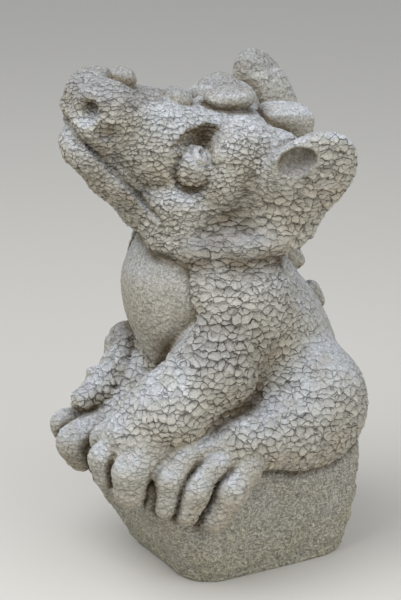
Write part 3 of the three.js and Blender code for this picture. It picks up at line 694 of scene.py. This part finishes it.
# Edges of the kinds of surface: each fades in from the first value to the second, which are millimetres, or
# for washed stone the upward part of the normal
EDGE = {
    "rock": (1.2, -1.2), "head": (4, -4), "trunk": (1.5, -1.0), "toes": (5, 0), "back": (0, 40),
    "back_high": (105, 135), "bib": (-1.0, 1.5), "bib_front": (2, -12), "bib_over_arms": (140, 165),
    "bib_foot": (118, 126), "wart": (2.2, 0.6), "hollow": (3.5, 1.0), "lid": (0.5, -0.5),
    "plate": (2.0, 0.5), "washed": (0.3, 0.95), "far_side": (-6, -18), "ear_back": (-16, 4),
    "ear_out": (22, 34), "jowl_low": (-14, -26), "jowl_back": (-40, -28), "throat_front": (40, 5),
    "throat_high": (185, 200), "mouth": (-44, -54), "wing": (6.0, 0.0), "hollow_stain_and_shade": (2.0, 0.0),
    "socket": (3.0, 0.0), "ball": (-0.5, 1.0), "dirt_and_shade": (6.0, -14.0), "muzzle": (-40, -60),
    "foot": (0.0, 3.0),
}
BODY = ("trunk", "hind", "fore", "far_fore", "tail")

# Half widths of bands along the throat, the mouth and the foot of the dragon, in millimetres
BAND = {"throat": 6, "mouth": 1.5, "crease": 3.0}

# Shares of the scales that are lost where rain falls, on the far side of the head and on the back, and the
# share of fine scales that toes have
LOST = {"washed": 0.55, "far_side": 0.6, "back": 0.6}
TOE_SCALES = 0.45

# Shares of the full height of lumps and of grain
LUMPS = {"plain": 0.15, "rock": 1.2}
GRAIN = {"scaly": 0.5, "bare": 0.5}

# Brown dirt and painted shade over the forelegs and flanks, given for the left side
DIRT_AND_SHADE = {"centre": (52, -40, 146), "half": (22, 34, 40)}


def regions(p, normals):
    """Shares from 0 to 1 of each kind of surface at points in millimetres, by name.

    A share rises between two values of a distance: of one form less another, or of a point from a form.
    """
    part = distances(p)
    q = in_head(p)
    m = folded(q)
    body = np.minimum.reduce([part[name] for name in BODY])
    on_rock = rise(*EDGE["rock"], part["rock"] - np.minimum(body, part["head"]))
    on_head = rise(*EDGE["head"], part["head"] - body)
    on_trunk = rise(*EDGE["trunk"], part["trunk"] - np.minimum(part["fore"], part["far_fore"]))
    in_front = rise(*EDGE["bib_front"], p[:, 1] - trunk_lines(p[:, 2])[0])
    on_bib = rise(*EDGE["bib"], bib_edge(p)) * in_front * (1 - on_head)
    on_bib = on_bib * np.maximum(on_trunk, rise(*EDGE["bib_over_arms"], p[:, 2]))
    on_bib = on_bib * rise(*EDGE["bib_foot"], p[:, 2])
    all_toes = [toes(p, LEFT_TOES), toes(mirrored(p), RIGHT_TOES), hind_toes(folded(p))]
    on_toes = rise(*EDGE["toes"], np.minimum.reduce(all_toes)) * (1 - on_rock)
    warts = np.minimum.reduce([egg(leaning(q, plate), plate) for plate in CREST])
    hollow = turned_egg(m, EAR_HOLLOW, HOLLOW_AXES)
    plain = np.maximum.reduce([
        rise(*EDGE["wart"], warts), rise(*EDGE["hollow"], hollow), rise(*EDGE["lid"], lid_edge(m)),
        rise(*EDGE["plate"], tail_plates(p)), rise(*EDGE["plate"], back_plates(p)),
    ])
    washed = rise(*EDGE["washed"], normals[:, 2])
    far_side = rise(*EDGE["far_side"], q[:, 0]) * on_head
    scaly = (1 - on_rock) * (1 - on_bib) * (1 - plain)
    scaly = scaly * (1 - LOST["washed"] * washed) * (1 - LOST["far_side"] * far_side)
    on_ear = rise(*EDGE["ear_back"], q[:, 1]) * rise(*EDGE["ear_out"], m[:, 0])
    on_jowl = rise(*EDGE["jowl_low"], q[:, 2]) * rise(*EDGE["jowl_back"], q[:, 1])
    on_fine = on_head * (1 - np.maximum(on_ear, on_jowl))
    throat = band(part["head"] - part["trunk"], BAND["throat"])
    throat = throat * rise(*EDGE["throat_front"], p[:, 1]) * rise(*EDGE["throat_high"], p[:, 2])
    on_back = rise(*EDGE["back"], p[:, 1]) * rise(*EDGE["back_high"], p[:, 2]) * (1 - on_head)
    on_body = (1 - on_fine) * (1 - throat) * (1 - on_toes) * (1 - LOST["back"] * on_back)
    in_socket = rise(*EDGE["socket"], limb(m, SOCKET["joints"], SOCKET["blend"]))
    return {
        "rock": on_rock,
        "head": on_head,
        "toes": on_toes,
        "scaly": scaly,
        "skin_body": scaly * on_body,
        "skin_fine": scaly * np.maximum(on_fine * (1 - throat), TOE_SCALES * on_toes),
        "skin_fold": scaly * throat,
        "throat": throat,
        "mouth": band(mouth_seam(q), BAND["mouth"]) * rise(*EDGE["mouth"], q[:, 1]) * on_head,
        "wing": rise(*EDGE["wing"], egg(m, NOSTRIL_WING)) * on_head,
        "hollow": rise(*EDGE["hollow_stain_and_shade"], hollow),
        "socket": in_socket * rise(*EDGE["ball"], egg(m, EYEBALL)),
        "crease": band(part["rock"] - body, BAND["crease"]),
        # Forelegs and flanks: darkened by brown dirt and by painted shade under the shoulders
        "dirt_and_shade": rise(*EDGE["dirt_and_shade"], egg(folded(p), DIRT_AND_SHADE)) * (1 - on_bib) * (1 - on_head),
    }


def relief(p, area, pattern, skin):
    """Height of the raised skin in millimetres: scales, or lumps and grain where the stone is bare."""
    bare = 1 - area["scaly"]
    high = sum(area["skin_" + kind] * pattern[kind + "_height"] for kind in KINDS)
    lumps = LUMPS["plain"] + LUMPS["rock"] * area["rock"]
    high = high + bare * skin.lump_height * (pattern["lump"] - MIDDLE) * lumps
    grain = GRAIN["scaly"] + GRAIN["bare"] * bare
    high = high + skin.grain_height * (pattern["grain"] - MIDDLE) * grain
    return high * rise(*EDGE["foot"], p[:, 2]) / MILLIMETRE


# Painted shade by shelter, where skin lies in hollows and creases or under other parts: how far out the
# field is looked at in millimetres, the shelter between which the shade rises, its weight, and the share of
# it on skin that faces up (all of it on skin that faces down)
SHELTER_SHADE = (
    {"reach": 4.0, "edge": (0.25, 0.9), "weight": 0.5, "up": 1.0},
    {"reach": 10.0, "edge": (0.2, 0.9), "weight": 0.45, "up": 1.0},
    {"reach": 24.0, "edge": (0.25, 0.95), "weight": 0.7, "up": 0.3},
)
# Brown dirt and painted shade on the throat, more of it on skin that faces down; weights of places darkened
# by brown dirt and painted shade; and how much less of both the muzzle and the toes take
THROAT_STAIN_AND_SHADE = {"weight": 1.1, "up": 0.6}
STAIN_AND_SHADE_PLACES = {"mouth": 0.5, "hollow": 0.3, "socket": 0.35, "crease": 0.4, "dirt_and_shade": 0.55, "wing": 0.45}
LESS_STAIN_AND_SHADE = {"head": 0.75, "toes": 0.35}

# Upward parts of the normal between which skin counts as facing down, takes painted sky light (paler and
# bluer, on skin that faces up), and takes painted warm shade (on skin that faces down)
FACING = {"down": (0.3, -0.6), "wash": (0.1, 0.8), "warm": (0.5, -0.5)}

# Dirt in cracks everywhere and more of it, with painted shade, where the forelegs, flanks and throat are
# darkened, bare grain on plain stone, more of it on rock and less on scales, and the heights over which
# algae fades upward
CRACK_GRIME_AND_SHADE = {"all": 0.4, "dirty_and_shaded": 0.6}
BARE = {"plain": 0.65, "rock": 0.35, "scaly": -0.35}
ALGAE = (80, 0)


def weather_shares(p):
    """Shares that the finish reads, at points in millimetres of the finished skin, by name.

    Shelter is one less the distance of a point a little way out, divided by that way: 0 on open skin. Stain
    and shade is the sum of painted shade from shelter, more of it on skin that faces down, and of darkened
    places, part brown dirt and part painted shade, each with its weight.
    """
    normals = slope(p, casting(p))
    area = regions(p, normals)
    up = normals[:, 2]
    down = rise(*FACING["down"], up)
    # Painted shade: sheltered skin is darkened, and more of it where the skin faces down
    stain = 0
    for look in SHELTER_SHADE:
        clear = casting(p + np.float32(look["reach"]) * normals) / look["reach"]
        shaded = rise(*look["edge"], 1 - np.clip(clear, 0, 1))
        stain = stain + look["weight"] * shaded * (look["up"] + (1 - look["up"]) * down)
    on_muzzle = rise(*EDGE["muzzle"], in_head(p)[:, 1]) * area["head"]
    stain = stain * (1 - LESS_STAIN_AND_SHADE["head"] * on_muzzle) * (1 - LESS_STAIN_AND_SHADE["toes"] * area["toes"])
    # Places darkened by brown dirt and painted shade, and the throat, more where it faces down
    for name, weight in STAIN_AND_SHADE_PLACES.items():
        stain = stain + weight * area[name]
    throat = THROAT_STAIN_AND_SHADE["weight"] * area["throat"]
    stain = stain + throat * (THROAT_STAIN_AND_SHADE["up"] + (1 - THROAT_STAIN_AND_SHADE["up"]) * down)
    shares = {name: area[name] for name in KINDS_SHARES}
    shares["stain"] = stain
    shares["grime"] = CRACK_GRIME_AND_SHADE["all"] + CRACK_GRIME_AND_SHADE["dirty_and_shaded"] * np.maximum(area["dirt_and_shade"], area["throat"])
    # Painted sky light: skin that faces up, off the rock, is made paler and bluer
    shares["wash"] = rise(*FACING["wash"], up) * (1 - area["rock"])
    # Painted shade: skin that faces down is made warmer and darker
    shares["warm"] = rise(*FACING["warm"], up)
    shares["low"] = area["rock"] * rise(*ALGAE, p[:, 2])
    shares["bare"] = BARE["plain"] + BARE["rock"] * area["rock"] + BARE["scaly"] * area["scaly"]
    return shares


def object_of(name, points, faces):
    """Object of a closed mesh in metres, shaded smooth."""
    mesh = bpy.data.meshes.new(name)
    mesh.from_pydata(np.float32(points), [], faces)
    mesh.shade_smooth()
    piece = bpy.data.objects.new(name, mesh)
    bpy.context.scene.collection.objects.link(piece)
    return piece


def thin_out(piece, limit):
    """Draw edges together, least bent first, until the piece has no more than limit triangles."""
    mesh = piece.data
    mesh.calc_loop_triangles()
    modifier = piece.modifiers.new("thin", "DECIMATE")
    modifier.ratio = min(limit / len(mesh.loop_triangles), 1.0)
    modifier.use_collapse_triangulate = True
    made = piece.evaluated_get(bpy.context.evaluated_depsgraph_get())
    thin = bpy.data.meshes.new_from_object(made)
    piece.modifiers.clear()
    piece.data = thin
    bpy.data.meshes.remove(mesh)
    thin.name = piece.name
    thin.shade_smooth()


def points_of(mesh):
    """Points of a mesh as rows."""
    points = np.empty(3 * len(mesh.vertices), np.float32)
    mesh.vertices.foreach_get("co", points)
    return points.reshape(-1, 3)


def set_shares(mesh, shares):
    """Store shares on the points of a mesh, kept from 0 to 1, for its material."""
    for name, values in shares.items():
        layer = mesh.attributes.new(name, "FLOAT", "POINT")
        layer.data.foreach_set("value", np.float32(np.clip(values, 0, 1)))


def linear(colour):
    """Linear red, green, blue and alpha of an sRGB hex colour."""
    parts = [int(colour[i:i + 2], 16) / 255 for i in (1, 3, 5)]
    return [v / 12.92 if v <= 0.04045 else ((v + 0.055) / 1.055) ** 2.4 for v in parts] + [1.0]


# Weathered finish over pale stone, layer by layer, with painted warm shade, painted sky light, algae, brown
# dirt mixed with painted shade, and dirt in the cracks: share, noise that breaks it up, and range of that
# noise
LAYERS = (
    ("warm", "patch", (0.35, 0.65, 0.4, 1.0)),
    ("wash", "lump", (0.3, 0.6, 0.35, 0.95)),
    ("low", "patch", (0.3, 0.7, 0.15, 0.8)),
    ("stain", "lump", (0.25, 0.6, 0.55, 0.95)),
    ("cracks", "patch", (0.4, 0.6, 0.65, 1.0)),
)
FINISH_SHARES = KINDS_SHARES + ("stain", "wash", "warm", "low", "bare", "grime")

# Brightness by height in metres, low spots darker with dirt and painted shade, high spots paler with rubbing
# and painted light, and brightness of grains of sand
HEIGHT_SHADE_AND_RUB = (-0.0012, 0.0009, 0.66, 1.27)
SAND_TONE = (0.2, 0.8, 0.66, 1.3)
SAND_HEIGHT = 0.0007

# Dry cement and sand: rough, with the weak gloss of a mineral
STONE = {"Roughness": 0.92, "IOR": 1.5, "Specular IOR Level": 0.35}

# Matt emulsion on the floor: no gloss
MATT_ROUGHNESS = 0.9

# Lamps: how far right, towards the viewpoint and up they are from the middle of the view, and their side, in
# metres
LAMPS = {"key": (-0.7, 0.55, 1.0, 1.3), "fill": (0.8, 0.9, 0.2, 1.2)}


def weighed_scales(tree, share, pattern):
    """Cracks and heights of all scales: the sum over their kinds of share times value."""
    totals = []
    for value in ("_gap", "_height"):
        total = None
        for kind in KINDS:
            links = {0: share["skin_" + kind], 1: pattern[kind + value]}
            if total:
                links[2] = total
            settings = {"operation": "MULTIPLY_ADD", 2: 0.0}
            total = add_node(tree, "ShaderNodeMath", settings, links).outputs[0]
        totals.append(total)
    return totals


def layered_colour(tree, share, pattern, stone, tints):
    """Colour of the stone with each layer mixed over it by its share times its own broken noise."""
    colour = None
    for name, noise, spread in LAYERS:
        uneven = {**SMOOTH, **dict(zip(RANGE, spread))}
        broken = add_node(tree, "ShaderNodeMapRange", uneven, {0: pattern[noise]}).outputs[0]
        product = {"operation": "MULTIPLY", "use_clamp": True}
        factor = add_node(tree, "ShaderNodeMath", product, {0: share[name], 1: broken}).outputs[0]
        links = {0: factor}
        if colour:
            links[6] = colour
        settings = {"data_type": "RGBA", 6: linear(stone), 7: linear(tints[name])}
        colour = add_node(tree, "ShaderNodeMix", settings, links).outputs[2]
    return colour


def weathered_cast_stone(skin, finish):
    """Material of the casting.

    Cast stone is cement and sand, packed damp into a mould and here long left outdoors. It gives the eye a
    dry, matt, pale grey, with painted warm shade on skin that faces down, painted paler and bluer sky light
    on skin that faces up, thin algae low on the rock, brown dirt mixed with painted shade in hollows,
    creases and under things, dark dirt in the cracks, and low spots darkened and high spots made paler, part
    dirt and rubbing, part painted shade and light.
    """
    material = bpy.data.materials.new("weathered_cast_stone")
    material.use_nodes = True
    tree = material.node_tree
    surface = tree.nodes["Principled BSDF"]
    place = add_node(tree, "ShaderNodeTexCoord").outputs["Object"]
    pattern = stone_pattern(tree, place, skin, skin.thin_crack)
    share = {
        name: add_node(tree, "ShaderNodeAttribute", {"attribute_name": name}).outputs["Fac"]
        for name in FINISH_SHARES
    }
    cracks, height = weighed_scales(tree, share, pattern)
    # Cracks darkened more on the forelegs, flanks and throat: dirt, and painted shade there
    links = {0: cracks, 1: share["grime"]}
    share["cracks"] = add_node(tree, "ShaderNodeMath", {"operation": "MULTIPLY"}, links).outputs[0]
    # Tints: painted warm shade, painted sky light, algae, brown dirt mixed with painted shade, and dirt in
    # the cracks
    tints = {
        "warm": finish.warm, "wash": finish.sky, "low": finish.olive, "stain": finish.stain,
        "cracks": finish.crack,
    }
    colour = layered_colour(tree, share, pattern, finish.stone, tints)
    # Bare stone is pitted; everything low is darkened, part dirt and part painted shade, and the high spots
    # are made paler, part rubbing and part painted light
    pits = {"operation": "MULTIPLY_ADD", 1: skin.pit_height, 2: -MIDDLE * skin.pit_height}
    pitted = add_node(tree, "ShaderNodeMath", pits, {0: pattern["grain"]}).outputs[0]
    links = {0: share["bare"], 1: pitted, 2: height}
    height = add_node(tree, "ShaderNodeMath", {"operation": "MULTIPLY_ADD"}, links).outputs[0]
    # Painted shade on low spots and painted light on high spots of the raised skin, with some dirt and
    # rubbing
    worn = add_node(tree, "ShaderNodeMapRange", dict(zip(RANGE, HEIGHT_SHADE_AND_RUB)), {0: height}).outputs[0]
    colour = add_node(tree, "ShaderNodeHueSaturation", None, {"Color": colour, "Value": worn}).outputs[0]
    # Grains of sand, each lighter or darker than the next, strongest on bare stone
    fine = {"Scale": 1 / skin.sand_size}
    sand = add_node(tree, "ShaderNodeTexVoronoi", fine, {"Vector": place}).outputs["Color"]
    tone = add_node(tree, "ShaderNodeMapRange", dict(zip(RANGE, SAND_TONE)), {0: sand}).outputs[0]
    links = {"Color": colour, "Value": tone, "Fac": share["bare"]}
    sandy = add_node(tree, "ShaderNodeHueSaturation", None, links).outputs[0]
    tree.links.new(sandy, surface.inputs["Base Color"])
    grainy = {"Strength": 1.0, "Distance": SAND_HEIGHT}
    normal = add_node(tree, "ShaderNodeBump", grainy, {"Height": sand}).outputs[0]
    # The height is already in metres, so its distance is 1
    raised = {"Strength": 1.0, "Distance": 1.0}
    normal = add_node(tree, "ShaderNodeBump", raised, {"Height": height, "Normal": normal}).outputs[0]
    tree.links.new(normal, surface.inputs["Normal"])
    for name, value in STONE.items():
        surface.inputs[name].default_value = value
    return material


def matt_paint(colour):
    """Material of the floor: matt emulsion, rolled on, which gives the eye an even tone with no gloss."""
    material = bpy.data.materials.new("matt_paint")
    material.use_nodes = True
    surface = material.node_tree.nodes["Principled BSDF"]
    surface.inputs["Base Color"].default_value = linear(colour)
    surface.inputs["Roughness"].default_value = MATT_ROUGHNESS
    return material


class DragonSkin(bpy.types.PropertyGroup):
    """Sizes of the raised skin of the casting."""

    cell: bpy.props.FloatProperty(
        name="Grid", description="Spacing of the grid that the skin is found on",
        default=0.00125, unit="LENGTH", precision=5,
    )
    facets: bpy.props.IntProperty(
        name="Triangles", description="Most triangles that the casting may have", default=196000
    )
    scale_size: bpy.props.FloatProperty(
        name="Scales", description="Width of a scale on the body",
        default=0.0054, unit="LENGTH", precision=5,
    )
    fine_size: bpy.props.FloatProperty(
        name="Head Scales", description="Width of a scale on the head",
        default=0.0034, unit="LENGTH", precision=5,
    )
    fold_size: bpy.props.FloatProperty(
        name="Throat Folds", description="Spacing of the folds at the throat",
        default=0.0042, unit="LENGTH", precision=5,
    )
    wide_crack: bpy.props.FloatProperty(
        name="Raised Crack", description="Width of a crack in the raised skin, as a share of a scale",
        default=0.26,
    )
    thin_crack: bpy.props.FloatProperty(
        name="Drawn Crack", description="Width of a crack in the finish, as a share of a scale",
        default=0.09,
    )
    scale_height: bpy.props.FloatProperty(
        name="Crack Depth", description="Depth of the cracks between scales",
        default=0.0011, unit="LENGTH", precision=5,
    )
    scale_step: bpy.props.FloatProperty(
        name="Scale Step", description="Difference in height between scales",
        default=0.0008, unit="LENGTH", precision=5,
    )
    scale_tilt: bpy.props.FloatProperty(
        name="Scale Tilt", description="Height of a scale's lower edge over its upper one",
        default=0.0014, unit="LENGTH", precision=5,
    )
    lump_height: bpy.props.FloatProperty(
        name="Lumps", description="Height of the lumps on plain stone",
        default=0.0055, unit="LENGTH", precision=5,
    )
    grain_size: bpy.props.FloatProperty(
        name="Grain", description="Width of the grains, drawn coarser than sand so that they show",
        default=0.0022, unit="LENGTH", precision=5,
    )
    grain_height: bpy.props.FloatProperty(
        name="Grain Height", description="Height of the grains",
        default=0.0018, unit="LENGTH", precision=5,
    )
    sand_size: bpy.props.FloatProperty(
        name="Sand", description="Width of a grain of sand, drawn coarser than it is so that it shows",
        default=0.0009, unit="LENGTH", precision=5,
    )
    pit_height: bpy.props.FloatProperty(
        name="Pits", description="Depth of the pits in the finish of bare stone",
        default=0.005, unit="LENGTH", precision=5,
    )


class DragonFinish(bpy.types.PropertyGroup):
    """Colours of the weathered stone, as sRGB hex."""

    stone: bpy.props.StringProperty(name="Stone", description="Pale cement stone", default="#adaba3")
    # Painted shade: the warmer, darker colour laid on skin that faces down
    warm: bpy.props.StringProperty(
        name="Warm Stone", description="Stone with sand showing", default="#a59d8c"
    )
    # Painted sky light: the paler, bluer colour laid on skin that faces up
    sky: bpy.props.StringProperty(name="Washed Stone", description="Stone washed by rain", default="#c2c6cc")
    olive: bpy.props.StringProperty(name="Algae", description="Thin algae on the rock", default="#b0ac97")
    # Brown dirt, also laid as painted shade in hollows, creases, the eye's recess, under the throat and on
    # undersides
    stain: bpy.props.StringProperty(name="Stain", description="Brown dirt in hollows", default="#5f523c")
    crack: bpy.props.StringProperty(name="Cracks", description="Dirt in the cracks", default="#45413a")


class DragonStage(bpy.types.PropertyGroup):
    """Floor, lights and viewpoint."""

    floor: bpy.props.FloatProperty(name="Floor", description="Side of the floor", default=6.0, unit="LENGTH")
    floor_colour: bpy.props.StringProperty(name="Floor Colour", description="sRGB hex", default="#cfcdc8")
    target: bpy.props.FloatVectorProperty(
        name="Target", description="Middle of the view", default=(-0.0133, -0.023, 0.164),
        subtype="TRANSLATION", precision=4,
    )
    azimuth: bpy.props.FloatProperty(
        name="Azimuth", description="Viewpoint round from the front towards the left side",
        default=math.radians(60), subtype="ANGLE",
    )
    elevation: bpy.props.FloatProperty(
        name="Elevation", description="Viewpoint over the horizon",
        default=math.radians(18), subtype="ANGLE",
    )
    distance: bpy.props.FloatProperty(
        name="Distance", description="Viewpoint to the middle of the view", default=1.3, unit="LENGTH"
    )
    lens: bpy.props.FloatProperty(name="Lens", description="Focal length in millimetres", default=124.8)
    key: bpy.props.FloatProperty(name="Key", description="Power of the high soft light", default=19.0)
    fill: bpy.props.FloatProperty(name="Fill", description="Power of the low soft light", default=8.5)
    sky: bpy.props.FloatProperty(
        name="Sky", description="Strength of the even light all round", default=0.57
    )
    sky_colour: bpy.props.StringProperty(name="Sky Colour", description="sRGB hex", default="#eef0f3")


class DRAGON_OT_casting(bpy.types.Operator):
    """Build the casting: the smooth body, its raised skin and the shares that its material reads"""

    bl_idname = "dragon.casting"
    bl_label = "Casting"

    def execute(self, context):
        skin = context.scene.dragon_skin
        cell = skin.cell / MILLIMETRE
        points, quads = net_of(grid_values(cell), cell)
        d = casting(points)
        points = points - np.clip(d, -cell, cell)[:, None] * slope(points, d)
        normals = slope(points, casting(points))
        high = relief(points, regions(points, normals), pattern_at(points * MILLIMETRE, skin), skin)
        piece = object_of("dragon_casting_stone", (points + high[:, None] * normals) * MILLIMETRE, quads)
        thin_out(piece, skin.facets)
        set_shares(piece.data, weather_shares(points_of(piece.data) / MILLIMETRE))
        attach(piece, "root")
        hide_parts("dragon_casting")
        return {"FINISHED"}


class DRAGON_OT_finish(bpy.types.Operator):
    """Give the casting its weathered stone"""

    bl_idname = "dragon.finish"
    bl_label = "Weathered Stone"

    def execute(self, context):
        scene = context.scene
        material = weathered_cast_stone(scene.dragon_skin, scene.dragon_finish)
        bpy.data.objects["dragon_casting_stone"].data.materials.append(material)
        return {"FINISHED"}


class DRAGON_OT_stage(bpy.types.Operator):
    """Set out a plain pale floor, soft light and the viewpoint"""

    bl_idname = "dragon.stage"
    bl_label = "Stage"

    def execute(self, context):
        scene = context.scene
        stage = scene.dragon_stage
        half = stage.floor / 2
        corners = [(-half, -half, 0), (half, -half, 0), (half, half, 0), (-half, half, 0)]
        floor = object_of("floor", corners, [(0, 1, 2, 3)])
        floor.data.materials.append(matt_paint(stage.floor_colour))
        target = Vector(stage.target)
        flat = math.cos(stage.elevation)
        away = Vector((
            math.sin(stage.azimuth) * flat, -math.cos(stage.azimuth) * flat, math.sin(stage.elevation)
        ))
        camera = bpy.data.objects.new("camera", bpy.data.cameras.new("camera"))
        camera.data.lens = stage.lens
        camera.location = target + away * stage.distance
        camera.rotation_euler = away.to_track_quat("Z", "Y").to_euler()
        scene.collection.objects.link(camera)
        scene.camera = camera
        right = Vector((math.cos(stage.azimuth), math.sin(stage.azimuth), 0))
        for name, (across, towards, high, side) in LAMPS.items():
            light = bpy.data.lights.new(name, "AREA")
            light.energy = getattr(stage, name)
            light.size = side
            lamp = bpy.data.objects.new(name, light)
            offset = across * right + towards * away + Vector((0, 0, high))
            lamp.location = target + offset
            lamp.rotation_euler = offset.to_track_quat("Z", "Y").to_euler()
            scene.collection.objects.link(lamp)
        world = bpy.data.worlds.new("soft_sky")
        world.use_nodes = True
        sky = world.node_tree.nodes["Background"]
        sky.inputs["Color"].default_value = linear(stage.sky_colour)
        sky.inputs["Strength"].default_value = stage.sky
        scene.world = world
        scene.view_settings.view_transform = "Standard"
        return {"FINISHED"}


class DRAGON_PT_panel(bpy.types.Panel):
    """Sizes, colours and buttons of the dragon statue"""

    bl_idname = "DRAGON_PT_panel"
    bl_label = "Dragon Statue"
    bl_space_type = "VIEW_3D"
    bl_region_type = "UI"
    bl_category = "Dragon"

    def draw(self, context):
        scene = context.scene
        for group, button in (
            (scene.dragon_skin, "dragon.casting"),
            (scene.dragon_finish, "dragon.finish"),
            (scene.dragon_stage, "dragon.stage"),
        ):
            box = self.layout.box()
            for name in type(group).__annotations__:
                box.prop(group, name)
            box.operator(button)


CLASSES = (
    DragonSkin, DragonFinish, DragonStage, DRAGON_OT_casting, DRAGON_OT_finish, DRAGON_OT_stage,
    DRAGON_PT_panel,
)


def register():
    for cls in CLASSES:
        bpy.utils.register_class(cls)
    bpy.types.Scene.dragon_skin = bpy.props.PointerProperty(type=DragonSkin)
    bpy.types.Scene.dragon_finish = bpy.props.PointerProperty(type=DragonFinish)
    bpy.types.Scene.dragon_stage = bpy.props.PointerProperty(type=DragonStage)


def unregister():
    del bpy.types.Scene.dragon_stage
    del bpy.types.Scene.dragon_finish
    del bpy.types.Scene.dragon_skin
    for cls in reversed(CLASSES):
        bpy.utils.unregister_class(cls)


def main():
    """Build everything in order."""
    register()
    bpy.ops.dragon.casting()
    bpy.ops.dragon.finish()
    bpy.ops.dragon.stage()


if __name__ == "__main__":
    main()
